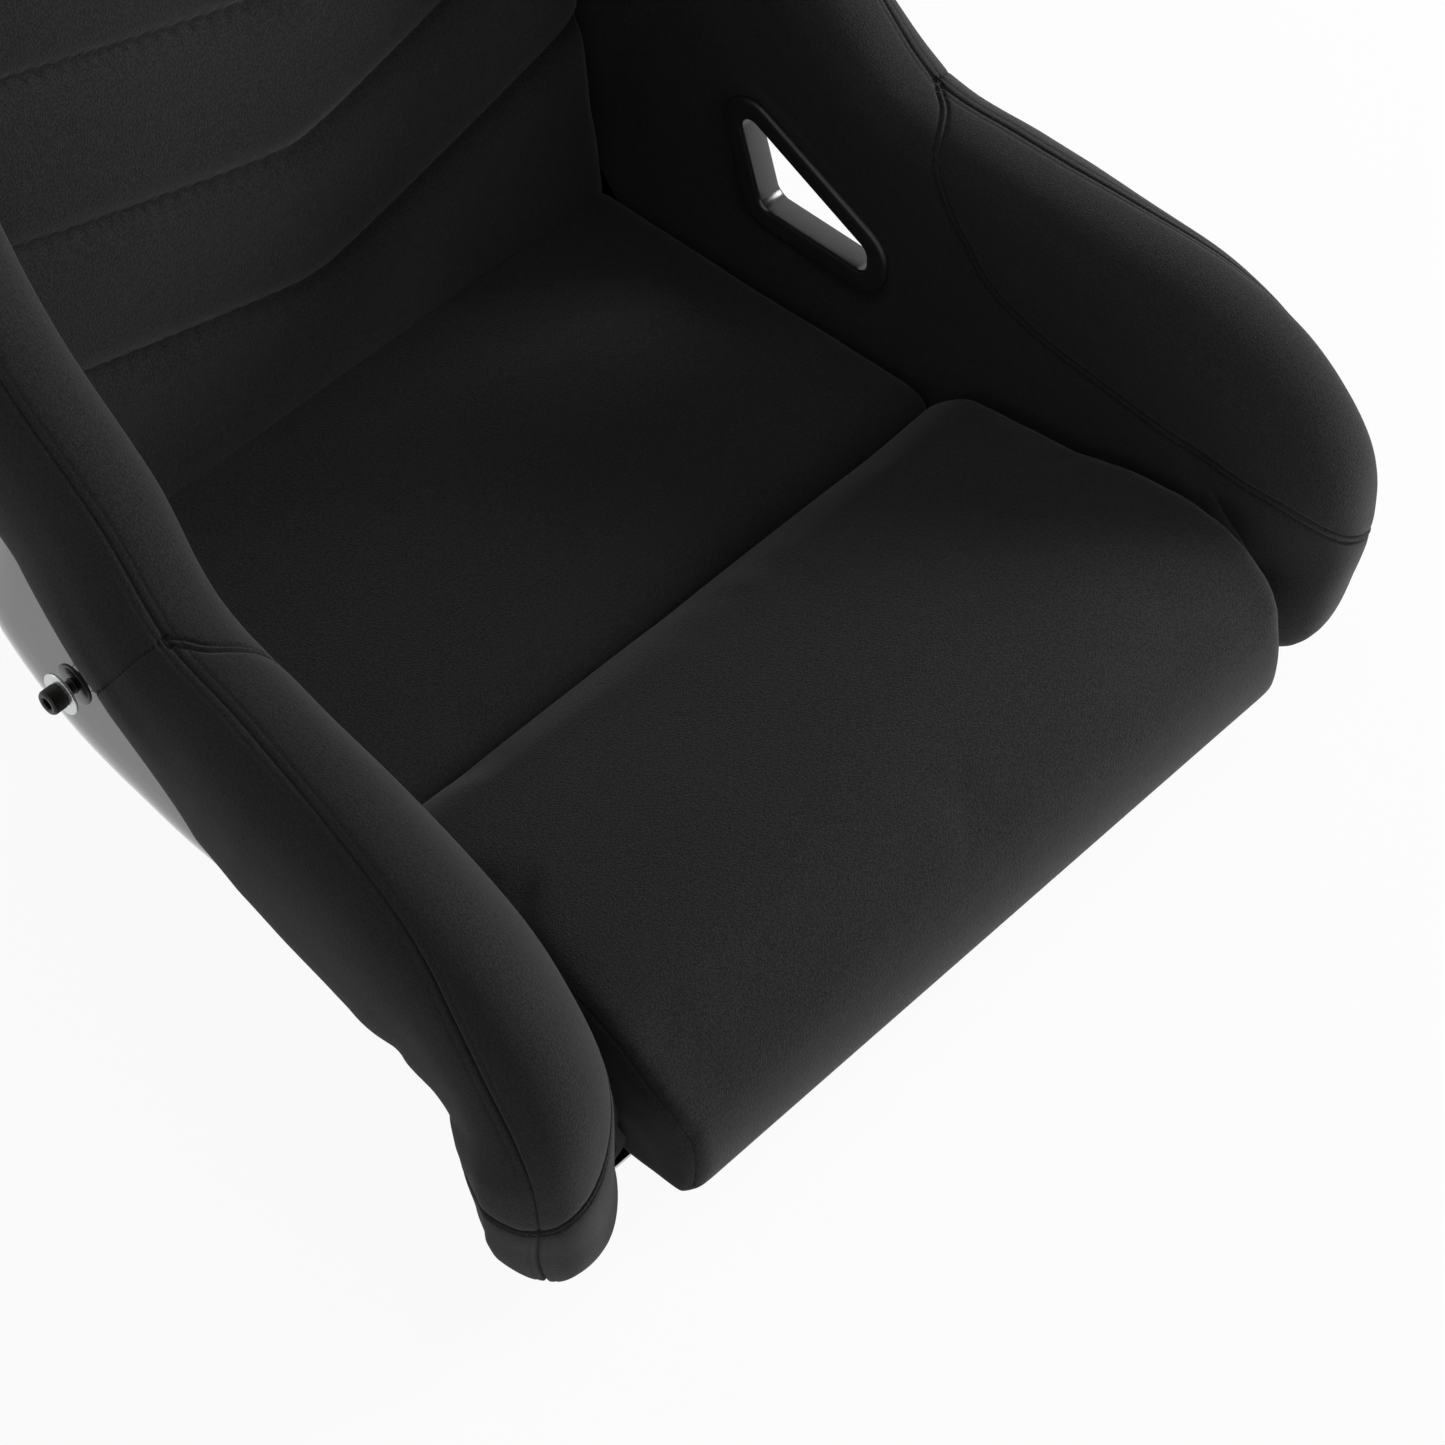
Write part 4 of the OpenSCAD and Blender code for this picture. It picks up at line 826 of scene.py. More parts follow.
RIDGE_SEAM = Seam(depth=1.3, width=0.75, hollow=0.5)
D_SEAM = Seam(points=(
    (245.7, 9, 230), (237, -4, 232), (227.6, -11, 223.5), (218.7, -19, 213), (212.6, -27, 205),
    (210.5, -40, 187), (210, -57, 167), (210, -87, 155), (210, -131, 148), (213, -191, 138),
    (220, -238, 125), (238, -253, 108), (260, -255, 92), (283.4, -246.6, 82.5), (289, -233, 84),
    (291, -214, 90), (289, -196, 98),
), depth=1.2, width=0.8, hollow=0.5, welt=0.5)
CROSS_SEAM = Seam(points=(
    (245.4, 9.6, 229.7), (254, 16, 219), (260, 27, 203), (262, 40, 188), (261, 52, 176), (256, 64, 166),
), depth=1.2, width=0.8, hollow=0.5)


def press_lines(bm: bmesh.types.BMesh, lines: Iterable[tuple[np.ndarray, Seam]], band: float = 5.0,
                finest: float = 0.7) -> None:
    """Refines the cloth beside sewn lines and sinks it along them.

    Args:
        bm: The cover's mesh, in metres.
        lines: Each line's points in millimetres, 1 mm apart, and the seam whose relief it has.
        band: Half width of the strip that gets finer faces, in millimetres.
        finest: Edges shorter than this many millimetres aren't cut again.
    """
    bm.normal_update()
    tree = BVHTree.FromBMesh(bm)
    for points, seam in lines:
        spots = [tree.find_nearest(Vector(p * MM))[0] for p in points]
        kd = KDTree(len(spots))
        for i, spot in enumerate(spots):
            kd.insert(spot, i)
        kd.balance()
        for reach in (band, band * 0.8, band * 0.6):
            edges = [e for e in bm.edges if e.calc_length() > finest * MM
                     and kd.find((e.verts[0].co + e.verts[1].co) / 2)[2] < reach * MM]
            bmesh.ops.subdivide_edges(bm, edges=edges, cuts=1, use_grid_fill=True)
        bm.normal_update()
        near = [(v, kd.find(v.co)[2] / MM) for v in bm.verts]
        near = [(v, d) for v, d in near if d < 3 * seam.spread]
        sink = seam.relief(np.array([d for _, d in near]))
        for (v, _), k in zip(near, sink):
            v.co -= v.normal * float(k) * MM


# ---- side covers ------------------------------------------------------------------------------------


@dataclass
class SideCover:
    """The sewn cover over one side's foam, from the nose to the shoulder, with its hidden turned-in back."""

    side: Side
    form: SeatForm = FORM
    start: float = 0.0
    end: float = 14.99
    step_mm: float = 4.0
    inner_count: int = 84
    outer_count: int = 44
    back_count: int = 26
    liner_t: float = 12.0
    torso_liner_t: float = 10.0
    nose_round: float = 9.0
    flange_x: float = 204.9
    stitch_at: float = 4.2
    stitch_half: float = 0.55
    stitch_depth: float = 0.28

    # Share of the extra fullness upward and outward at each point of the roll's outline.
    FULLNESS = ((0, 0), (0.15, 0), (0.45, 0), (0.85, 0), (1, 0.25), (1, 0.7), (1, 1), (0.85, 1), (0.5, 1),
                (0.2, 0.9), (0, 0.8), (0, 0.6))
    # How far the padding stands over the foam upward and outward, by station.
    LIFT = ((0, 2, 3.4, 4.5, 6, 7.5, 9), (0, 2, 6, 9.5, 7.2, 1.5, 0))
    PUSH = ((0, 2, 3.4, 4.5, 5.3, 6.3, 7.5, 8.5, 10, 11), (0, 1, 2, -2.5, -1.5, 4, 8, 6, 2, 0))
    # Share of the nose's extra width inward at the outline's first points.
    NOSE_SHARE = (1.0, 0.85, 0.55, 0.18)
    # Distances from the long seam that have a row of points of their own, for its relief.
    CLOSE = (0.45, 0.9, 1.4, 2.0, 2.8, 3.5, 4.0, 4.5, 5.2, 6.4, 8.0)

    def liner_thickness(self, s: float) -> float:
        """Foam thickness of the liner at a station."""
        return self.liner_t + (self.torso_liner_t - self.liner_t) * ease(s - 11.4)

    def low_height(self, s: float) -> float:
        """Height along the section where the liner ends beside the cushions."""
        b, e, _ = self.form.wall_run(s)
        floor = 45 + 7 * ease(s - 11) if s > 10.5 else 10
        return max((62 - b[1]) / e[1], floor) - 16 * ease((s - 15) / 1.5)

    def front(self, s: float) -> np.ndarray:
        """The visible outline at a station, from the cushion's edge over the ridge to the outer hem."""
        f = self.form
        outline = f.roll_outline(s)
        nose = max(3.2 * ease((s - 0.3) / 1.2) * ease((4.6 - s) / 1.4),
                   15.5 * ease((s - 2.1) / 1.5) * ease((8 - s) / 3.2))
        roll = [f.on_roll(s, p) for p in outline[:12]]
        roll[0] = f.on_roll(s, (outline[0][0], outline[0][1] * 0.86))
        for point, share in zip(roll, self.NOSE_SHARE):
            point[0] -= nose * share
        lift, push = np.interp(s, *self.LIFT), np.interp(s, *self.PUSH)
        for i, (up_share, out_share) in enumerate(self.FULLNESS):
            roll[i] = roll[i] - f.inward(s) * lift * up_share + np.array([push * out_share, 0, 0])
        return smooth_path(self.liner_points(s, roll[0]) + roll, 10)

    def liner_points(self, s: float, hem: np.ndarray) -> list[np.ndarray]:
        """Points over the liner at a station, from the cushion's edge up to the roll's inner hem."""
        f = self.form
        b, e, _ = f.wall_run(s)
        top = float((hem[1:] - b) @ e)
        # The liner starts behind the nose and ends under the shoulder.
        grow = clamp((s - 2.03) / 0.12, 0, 1) * (1 - ease((s - 16.9) / 0.9))
        build_up = 0.3 + 0.7 * ease((s - 2.05) / 0.4)
        low = top - 6 + (min(self.low_height(s), top - 20) - top + 6) * grow
        skin = f.shell_t + f.gap
        points = []
        for q in (0, 0.16, 0.32, 0.48, 0.64, 0.8):
            h = low + (top - 14 * grow - 2 - low) * q
            across, up = (f.side_point(s, h, skin + f.liner_depth(s, h, thick) * build_up)[k]
                          for k, thick in enumerate((self.liner_thickness(s), self.liner_t)))
            p = f.place(s, (across, up))
            blend = ease(q * 1.15) * 0.75 if grow > 0.5 else 1.0
            p[0] += (hem[0] - p[0]) * max(blend * (0.6 if s < 9 else 0.5), 1 - grow)
            points.append(p)
        return points

    def back(self, s: float, hem: np.ndarray, low: np.ndarray) -> np.ndarray:
        """The hidden outline from the outer hem over the shell's rim to the cushion's edge."""
        f = self.form
        b, e, tall = f.wall_run(s)
        h_out = clamp(float((hem[1:] - b) @ e), 4, tall - 6)
        h_in = clamp(float((low[1:] - b) @ e), 1, tall - 6)
        flat = [(f.flare_x(s, h / tall) + 0.8, h) for h in np.linspace(h_out, tall, 8)]
        flat += [(f.flare_x(s, 1) - 2, tall + 1.0)]
        flat += [f.side_point(s, h, f.shell_t + 0.5) for h in np.linspace(tall - 0.5, h_in, 12)]
        path = np.array([hem, *(f.place(s, p) for p in flat), low])
        share = np.linspace(0, 1, self.back_count + 2)[1:-1]
        wall = read_path(path, share * lengths(path)[-1])
        chord = hem + np.outer(share, low - hem)
        open_up = clamp((s - 2.02) / 0.1, 0, 1)
        return chord + (wall - chord) * open_up

    def seam_length(self, s: float, path: np.ndarray) -> float:
        """Distance along the visible outline to the long seam."""
        across = path[:, 0] - self.form.ridge_at(s)[0]
        run = lengths(path)
        target = float(curve(self.form.seam_across, s))
        top = int(np.argmin(np.abs(across) + np.linalg.norm(path - self.form.ridge_at(s), axis=1)))
        for i in range(top, len(path) - 1):
            if across[i] <= target <= across[i + 1]:
                t = (target - across[i]) / max(across[i + 1] - across[i], 1e-6)
                return float(run[i] + t * (run[i + 1] - run[i]))
        return float(run[min(top + 10, len(path) - 1)])

    def ring(self, s: float) -> np.ndarray:
        """One closed outline with finer points beside the long seam."""
        path = self.front(s)
        total = float(lengths(path)[-1])
        seam = clamp(self.seam_length(s, path), 30, total - 20)
        close = np.array(self.CLOSE)
        n_in = self.inner_count - len(close) - 1
        n_out = self.outer_count - len(close)
        at = np.concatenate([
            np.linspace(0, seam - close[-1], n_in, endpoint=False), seam - close[::-1], [seam], seam + close,
            np.linspace(seam + close[-1], total, n_out + 1)[1:],
        ])
        front = read_path(path, at)
        self.seam_index = n_in + len(close)
        self.seam_offsets = at - seam
        return self.pressed(s, front)

    def pressed(self, s: float, front: np.ndarray) -> np.ndarray:
        """Sinks the long seam and its two rows of stitching, then closes the outline."""
        d = np.abs(self.seam_offsets)
        rows = self.stitch_depth * np.exp(-(((d - self.stitch_at) / self.stitch_half) ** 2))
        sink = RIDGE_SEAM.relief(d) + rows
        tangent = np.gradient(front, axis=0)
        side_way = np.cross(tangent, self.form.ridge_at(s + 0.05) - self.form.ridge_at(s - 0.05))
        norm = np.linalg.norm(side_way, axis=1)
        normal = side_way / np.maximum(norm, 1e-6)[:, None]
        middle = front[self.seam_index]
        centre = self.form.on_roll(s, (0, self.form.roll_over))
        sign = 1.0 if normal[self.seam_index] @ (middle - centre) > 0 else -1.0
        front = front - normal * sign * (sink * (d < 14))[:, None]
        return np.vstack([front, self.back(s, front[-1], front[0])])

    def stations(self) -> list[float]:
        """Stations whose ridge points are about one step apart."""
        fine = np.linspace(self.start, self.end, 1200)
        run = lengths(np.array([self.form.ridge_at(s) for s in fine]))
        count = int(run[-1] / self.step_mm)
        return list(np.interp(np.linspace(0, run[-1], count + 1), run, fine))

    def nose_cap(self, ring: np.ndarray) -> list[np.ndarray]:
        """Outlines that round off the foot of the nose."""
        middle = ring.mean(axis=0)
        way = -unit(self.form.ridge_at(0.2) - self.form.ridge_at(0.0)) * self.nose_round
        return [middle + (ring - middle) * math.cos(q) + way * math.sin(q)
                for q in (math.radians(a) for a in (80, 65, 50, 36, 22, 10))]

    def rings(self) -> list[np.ndarray]:
        """All outlines of the cover."""
        rings = [self.ring(s) for s in self.stations()]
        return self.nose_cap(rings[0]) + rings if self.start == 0 else rings

    def dimple(self, bm: bmesh.types.BMesh) -> None:
        """Sinks the cloth towards the belt bezel and opens the hole behind it."""
        places = np.array([v.co for v in bm.verts]) / MM
        away = polygon_distance(places[:, 1:], rounded(grown(LAP_CORNERS, -2), 9, 6))
        for v, x, d in zip(bm.verts, places[:, 0], away):
            if d < 34 and 195 < x < self.flange_x:
                v.co.x = (x + (self.flange_x - x) * (1 - ease((d - 11.5) / 15))) * MM
        middles = np.array([f.calc_center_median() for f in bm.faces]) / MM
        behind = polygon_distance(middles[:, 1:], rounded(grown(LAP_CORNERS, -2.6), 9, 6)) < 3
        behind &= (middles[:, 0] > 180) & (middles[:, 0] < 222)
        bmesh.ops.delete(bm, geom=[f for f, gone in zip(bm.faces, behind) if gone], context="FACES")
        bmesh.ops.bridge_loops(bm, edges=[e for e in bm.edges if e.is_boundary])

    def build(self) -> bpy.types.Object:
        """Makes the cover."""
        bm = loft(self.rings())
        self.dimple(bm)
        press_lines(bm, [(seam.samples(), seam) for seam in (D_SEAM, CROSS_SEAM)])
        return self.sewn(f"side_cover_{self.side.word}", bm,
                         "leg_bolster", "torso_wing", "hip_liner", "torso_liner")

    def sewn(self, name: str, bm: bmesh.types.BMesh, *nodes: str) -> bpy.types.Object:
        """Makes a cover's piece from its right-hand mesh, in place of its side's nodes."""
        replaces = tuple(f"{node}_{self.side.word}" for node in nodes)
        return cover(name, "roll_fabric", replaces, 70).build(mirrored(bm, self.side))


@dataclass
class ShoulderCover(SideCover):
    """The cover over one shoulder's foam."""

    start: float = 15.02
    end: float = 18.99

    def build(self) -> bpy.types.Object:
        """Makes the cover."""
        return self.sewn(f"shoulder_cover_{self.side.word}", loft(self.rings()), "shoulder_roll")


@dataclass
class HeadCover(SideCover):
    """The cover that runs over the top of the back, from one side of the head to the other."""

    # Backward lean of the cover at the middle of the crown.
    LEAN = 0.18

    side: Side = Side.RIGHT
    start: float = 19.01
    end: float = 22.0

    def crown_rings(self, last: np.ndarray) -> list[np.ndarray]:
        """Outlines that turn from sideways to front-and-back at the middle of the crown.

        Args:
            last: The right side's last outline.

        Returns:
            The outlines after it, up to the one on the middle.
        """
        f, s = self.form, self.end
        start, inward = f.ridge_at(s), f.inward(s)
        rise = np.array([0, *(f.rim_at(s) + (0, f.roll_over) - start[1:])])
        across, depth = (last - start)[:, 0], (last - start) @ inward
        rings = []
        for a in np.linspace(0, 90, 13)[1:]:
            sine, cosine = math.sin(math.radians(a)), math.cos(math.radians(a))
            e = start + rise * sine
            e[0] = start[0] * (1 - sine * (a / 90) ** 0.35)
            d = unit(inward * (1 - a / 90) + np.array([0, self.LEAN, -1]) * (a / 90))
            n = np.array([cosine, sine, self.LEAN * sine])
            n = unit(n - d * float(n @ d))
            rings.append(e + np.outer(across, n) + np.outer(depth, d))
        rings[-1][:, 0] = 0
        return rings

    def build(self) -> bpy.types.Object:
        """Makes the cover."""
        right = [self.ring(s) for s in self.stations()]
        right += self.crown_rings(right[-1])
        left = [ring * FLIP for ring in right[-2::-1]]
        return cover("head_cover", "roll_fabric", ("head_roll",), 70).build(loft(right + left))


# ---- shell ---------------------------------------------------------------------------------------------


@dataclass
class Shell:
    """The moulded laminate shell with its belt openings and bolt holes."""

    form: SeatForm = FORM
    count: int = 150
    bolt_hole_r: float = 7.3

    def section(self, s: float) -> np.ndarray:
        """One closed outline: the outer face, the rim, the inner face and back."""
        f = self.form
        return f.whole_ring(s, f.half_section(s, 0), f.half_section(s, f.shell_t))

    def build(self) -> bpy.types.Object:
        """Makes the shell and cuts its openings."""
        f = self.form
        bm = loft([self.section(s) for s in np.linspace(2, 22, self.count)])
        obj = Piece("shell_smooth", GELCOAT, "laminate", replaces=("shell",), sharp=35).build(bm)
        cutters = bmesh.new()
        circle = [self.bolt_hole_r * np.array([math.cos(a), math.sin(a)]) for a in turn(32)]
        holes = [(rounded(grown(LAP_CORNERS, -4.6), 11.6), 40, 60)]
        holes += [([p + (row.value, BOLT_Z) for p in circle], 20, 40) for row in Row]
        for side in Side:
            for outline, deep, run in holes:
                extrude_prism(cutters, [Vector((side.value * (f.flank_x - deep), *p)) for p in outline],
                              Vector((side.value * run, 0, 0)))
            BeltFrame(side).pierce(cutters, 2.4, -30, 70)
        cut(obj, cutters)
        return obj


def extrude_prism(bm: bmesh.types.BMesh, outline: Sequence[Vector], way: Vector) -> None:
    """Extrudes a closed outline, given in millimetres, into a closed prism."""
    face = bm.faces.new([bm.verts.new(v * MM) for v in outline])
    made = bmesh.ops.extrude_face_region(bm, geom=[face], use_keep_orig=True)
    moved = [g for g in made["geom"] if isinstance(g, bmesh.types.BMVert)]
    bmesh.ops.translate(bm, vec=way * MM, verts=moved)


def cut(obj: bpy.types.Object, cutters: bmesh.types.BMesh) -> None:
    """Cuts a mesh's closed forms out of an object, and keeps the result in its mesh."""
    bmesh.ops.recalc_face_normals(cutters, faces=cutters.faces)
    tool = stored(cutters, "cutters")
    mod = obj.modifiers.new("cut", "BOOLEAN")
    mod.operation, mod.object, mod.solver = "DIFFERENCE", tool, "EXACT"
    apply_modifiers(obj)
    bpy.data.objects.remove(tool)
    reshape(obj, lambda bm: crease_edges(bm, 35))


def apply_modifiers(obj: bpy.types.Object) -> None:
    """Puts the evaluated shape into the object's mesh and clears its modifiers."""
    graph = bpy.context.evaluated_depsgraph_get()
    graph.update()
    made = bpy.data.meshes.new_from_object(obj.evaluated_get(graph), depsgraph=graph)
    obj.modifiers.clear()
    obj.data = made


@dataclass(frozen=True)
class BeltFrame:
    """The tilted frame of one shoulder belt opening, with its third axis pointing forward."""

    side: Side

    @property
    def tilt(self) -> float:
        """Slope of the back at the opening."""
        z0 = FORM.hip_end[1]
        run = (FORM.top_z - z0) ** 2
        return math.atan(math.tan(math.radians(FORM.back_lean)) + 2 * FORM.back_bow * (BELT_Z - z0) / run)

    @property
    def normal(self) -> Vector:
        """The direction out of the back."""
        return Vector((0, -math.cos(self.tilt), math.sin(self.tilt)))

    def at(self, x: float, y: float, z: float) -> Vector:
        """A point of the frame in space."""
        up = Vector((0, math.sin(self.tilt), math.cos(self.tilt)))
        origin = Vector((self.side.value * BELT_X, FORM.back_y(BELT_Z), BELT_Z))
        return origin + Vector((x, 0, 0)) + up * y + self.normal * z

    def pierce(self, cutters: bmesh.types.BMesh, by: float, start: float, run: float) -> None:
        """Adds the opening, grown by a distance, to the cutters as a prism along the normal."""
        extrude_prism(cutters, [self.at(x, y, start) for x, y in self.outline(by)], self.normal * run)

    @staticmethod
    def outline(by: float, steps: int = 10) -> list[Point]:
        """The opening's rounded outline, grown by a distance."""
        w, h = BELT_W / 2 + by, BELT_H / 2 + by
        return rounded([(-w, h), (-w, -h), (w, -h), (w, h)], BELT_R + by, steps)


# ---- cushions -----------------------------------------------------------------------------------------


def swell(obj: bpy.types.Object, voxel: float, cap: float, pressure: float = 4.0) -> None:
    """Puffs a cushion up with cloth simulation, and keeps the result in its mesh.

    Args:
        obj: The cushion, a closed mesh.
        voxel: Size of the even faces it gets first, in millimetres.
        cap: The furthest that a point may move, in millimetres.
        pressure: Air pressure inside the cover.
    """
    remesh = obj.modifiers.new("even", "REMESH")
    remesh.mode, remesh.voxel_size = "VOXEL", voxel * MM
    apply_modifiers(obj)
    rest = np.array([v.co for v in obj.data.vertices])
    cloth = obj.modifiers.new("cloth", "CLOTH")
    cloth.settings.use_pressure = True
    cloth.settings.uniform_pressure_force = pressure
    cloth.settings.effector_weights.gravity = 0
    scene = bpy.context.scene
    for frame_number in range(1, 21):
        scene.frame_set(frame_number)
    apply_modifiers(obj)
    scene.frame_set(1)
    moved = np.array([v.co for v in obj.data.vertices])
    way = moved - rest
    far = np.linalg.norm(way, axis=1)
    way *= np.minimum(1, cap * MM / np.maximum(far, 1e-9))[:, None]
    obj.data.vertices.foreach_set("co", (rest + way).ravel())
    for _ in range(3):
        reshape(obj, lambda bm: bmesh.ops.smooth_vert(bm, verts=bm.verts, factor=0.35, use_axis_x=True,
                                                      use_axis_y=True, use_axis_z=True))
    fine = obj.modifiers.new("fine", "SUBSURF")
    fine.levels = fine.render_levels = 1
    apply_modifiers(obj)


@dataclass
class Cushion:
    """A foam pad in a sewn cover: a closed profile in side view, run across the seat to rounded ends."""

    name: str
    body: str
    replaces: tuple[str, ...]
    profile: list[Point]
    half_width: Callable[[float, float], float]
    edge_r: float = 7.0
    crown: float = 2.0
    crown_way: Point = (0.0, 1.0)
    inset: float = -2.0
    cap: float = 3.0
    steps: int = 60
    fill: float = 0.85
    sharp: float = 75.0

    def offset_profile(self, by: float) -> np.ndarray:
        """The profile moved inward by a distance."""
        p = np.array(self.profile, float)
        p = p[np.linalg.norm(p - np.roll(p, 1, axis=0), axis=1) > 1e-6]
        nxt, prv = np.roll(p, -1, axis=0), np.roll(p, 1, axis=0)
        t = nxt - prv
        t /= np.linalg.norm(t, axis=1)[:, None]
        normal = np.column_stack([-t[:, 1], t[:, 0]])
        area = 0.5 * np.sum(p[:, 0] * nxt[:, 1] - nxt[:, 0] * p[:, 1])
        return p + normal * (by if area > 0 else -by)

    def rings(self) -> list[np.ndarray]:
        """The profile's outlines from the left end to the right end."""
        r = self.edge_r
        middle = [self.outline(u, 0.0, 0.0) for u in np.linspace(-1, 1, self.steps)]
        right = [self.outline(1, r * (1 - math.cos(q)), r * math.sin(q))
                 for q in (math.radians(a) for a in (15, 30, 45, 60, 75, 90))]
        return [end * FLIP for end in right[::-1]] + middle + right

    def outline(self, u: float, shrink: float, out: float) -> np.ndarray:
        """One outline at a share of the half width.

        Args:
            u: The share, from -1 at the left end to 1 at the right end.
            shrink: How far the outline is drawn in, in millimetres.
            out: How far it lies past the share's place, in millimetres.

        Returns:
            The outline's points.
        """
        base, way = self.offset_profile(self.inset), np.array(self.crown_way)
        half = np.array([self.half_width(y, z) for y, z in base]) - self.inset - self.edge_r
        lift = self.crown * (1 - abs(u) ** 2.5)
        on_top = np.clip((base - base.mean(axis=0)) @ way / 12, 0, 1)
        p = self.offset_profile(self.inset + shrink) + np.outer(lift * on_top, way)
        return np.column_stack([half * u + out * (1 if u >= 0 else -1), p])

    def lines(self) -> list[tuple[np.ndarray, Seam]]:
        """Sewn lines and channels on the cover, as dense points with their reliefs."""
        return []

    def build(self) -> bpy.types.Object:
        """Makes the cushion."""
        piece = Piece(self.name, FABRIC, "pad_fabric", body=self.body, replaces=self.replaces,
                      padded=self.fill, sharp=self.sharp)
        obj = piece.build(loft(self.rings()))
        swell(obj, 5.0, self.cap)
        reshape(obj, self.dress)
        return obj

    def dress(self, bm: bmesh.types.BMesh) -> None:
        """Adds the seams to the swollen cushion."""
        press_lines(bm, self.lines(), 4.0)
        crease_edges(bm, self.sharp)


EDGE_SEAM = Seam(depth=0.9, width=0.8, hollow=0.5, spread=4.0)
VEE_SEAM = Seam(depth=2.2, width=2.5, hollow=1.0, spread=4.0)


@dataclass
class EdgedCushion(Cushion):
    """A cushion with a seam along both ends, between its top panel and its end panels."""

    seam_from: int = 0
    seam_to: int = 0

    def lines(self) -> list[tuple[np.ndarray, Seam]]:
        """The two end seams."""
        out = []
        for side in Side:
            p = self.outline(1, self.edge_r * 0.3, self.edge_r * 0.7)[self.seam_from:self.seam_to]
            p = p if side is Side.RIGHT else p * FLIP
            out.append((read_path(p, np.arange(0, lengths(p)[-1], 1.0)), EDGE_SEAM))
        return out


def thigh_cushion() -> Cushion:
    """The front cushion, which wraps over the pan's lip."""
    nose, front, top, low = -237.0, -261.0, 120.6, 34.0
    cover = [
        (JOINT_Y - 0.6, PAN_LIFT), (JOINT_Y - 0.6, JOINT_Z - 5), (JOINT_Y - 6, JOINT_Z + 1),
        (JOINT_Y - 23.5, JOINT_Z + 14), (JOINT_Y - 50, JOINT_Z + 17.3), (JOINT_Y - 96, JOINT_Z + 21.8),
        (nose + 72, top), (nose + 49, top), (nose + 37, top - 1.3), (nose + 18, top - 6),
        (nose - 1, top - 17.1), (front + 8, top - 31), (front, top - 54), (front, low + 9.5),
        (front + 3, low), (-224, low - 1),
    ]
    under = [(y, FORM.pan(y)[1] + PAN_LIFT + more)
             for y, more in ((-213, 3), (-193, 2), (-161, 1), (-130, 0))]
    top_line = smooth_path(cover[1:14], 6)
    profile = [cover[0]] + [tuple(p) for p in top_line] + cover[14:] + under

    def width(y: float, z: float) -> float:
        """Half width, which narrows round the front corners."""
        if y > nose:
            return PAD_HALF + PAD_FLARE * clamp((JOINT_Y - y) / (JOINT_Y - nose), 0, 1)
        q = clamp((nose - y) / (nose - front), 0, 1)
        return PAD_HALF + PAD_FLARE - q - 4 * q**3

    return EdgedCushion("thigh_cushion", "thigh_pad", ("thigh_pad_cover",), profile, width, edge_r=6,
                        crown=1.5, seam_from=4, seam_to=len(profile) - 6, cap=2.6)


def rear_cushion() -> Cushion:
    """The rear cushion, under the driver's hips."""
    y0, y1, z1, deep = JOINT_Y + 1.4, 185.2, 89.0, 26.0

    def top(y: float) -> float:
        """Height of the cushion at y."""
        return z1 + (JOINT_Z - z1) * (y1 - y) / (y1 - JOINT_Y)

    profile = [(y0, top(y0) - deep), (y1, z1 - deep), (y1, z1 - 4), (y1 - 1.2, z1 - 1.2), (y1 - 4, z1)]
    profile += [(y, top(y)) for y in np.linspace(y1 - 20, y0 + 16, 14)]
    profile += [tuple(p) for p in smooth_path([(y0 + 12, top(y0) - 0.2), (y0 + 6, top(y0) - 1.4),
                                               (y0 + 2.2, top(y0) - 4.6), (y0, top(y0) - 10)], 5)]
    return EdgedCushion("rear_cushion", "rear_pad", ("rear_pad_topper",), profile, lambda y, z: 190.0,
                        edge_r=5, crown=2.5, seam_from=3, seam_to=len(profile) - 8, cap=2.6)


@dataclass
class BackCushion(Cushion):
    """The back pad with its sewn V channels."""

    rise: float = 40 / 159
    bend: float = 14.0
    lows: tuple = (155.0, 235.5, 318.0, 402.0, 486.0)
    channel_depth: float = 4.6
    channel_half: float = 9.0

    def vee(self, x: float) -> float:
        """How far a V's line has risen at x, from its rounded foot on the middle."""
        return self.rise * (math.hypot(x, self.bend) - self.bend)

    def dress(self, bm: bmesh.types.BMesh) -> None:
        """Sinks the channels into the front of the pad."""
        slope = math.cos(math.atan(self.rise))
        for v in [v for v in bm.verts if v.normal.y < -0.1]:
            x, z = abs(v.co.x / MM), v.co.z / MM
            line = self.vee(x)
            d = min(abs(z - low - line) for low in self.lows) * slope
            edge = clamp((PAD_HALF + 1 - x) / 10, 0.35, 1)
            depth = self.channel_depth * math.exp(-((d / self.channel_half) ** 2)) - 1.0
            v.co.y += depth * edge * MM
        lines = [np.array([(x, back_front(low + self.vee(x)), low + self.vee(x)) for x in range(-186, 187)])
                 for low in self.lows]
        press_lines(bm, [(line, VEE_SEAM) for line in lines], 4.0, 1.5)
        crease_edges(bm, self.sharp)


def back_front(z: float) -> float:
    """Front face of the back pad at height z."""
    low_y, waist_y, low_z, waist_z = 183.0, 196.0, 96.0, 235.5
    if z < waist_z:
        return low_y + (waist_y - low_y) * (z - low_z) / (waist_z - low_z)
    gap = FORM.back_y(waist_z) - waist_y
    return FORM.back_y(z) - gap - (30 - gap) * ease((z - waist_z) / (568 - waist_z))


def back_cushion() -> Cushion:
    """The back pad's padded front layer."""
    zs = np.linspace(80, 566, 60)
    front = [(back_front(z), z) for z in zs]
    rear = [(back_front(z) + 14, z) for z in zs[::-1]]

    def width(y: float, z: float) -> float:
        """Half width, which narrows round the upper corners."""
        return float(np.interp(z, (0, 468, 508, 550, 568), (190, 190, 186, 168, 150)))

    return BackCushion("back_cushion", "back_pad", ("back_pad_topper",), front + rear, width, edge_r=5,
                       crown=3, crown_way=(-0.97, 0.2), cap=3.0, steps=90)


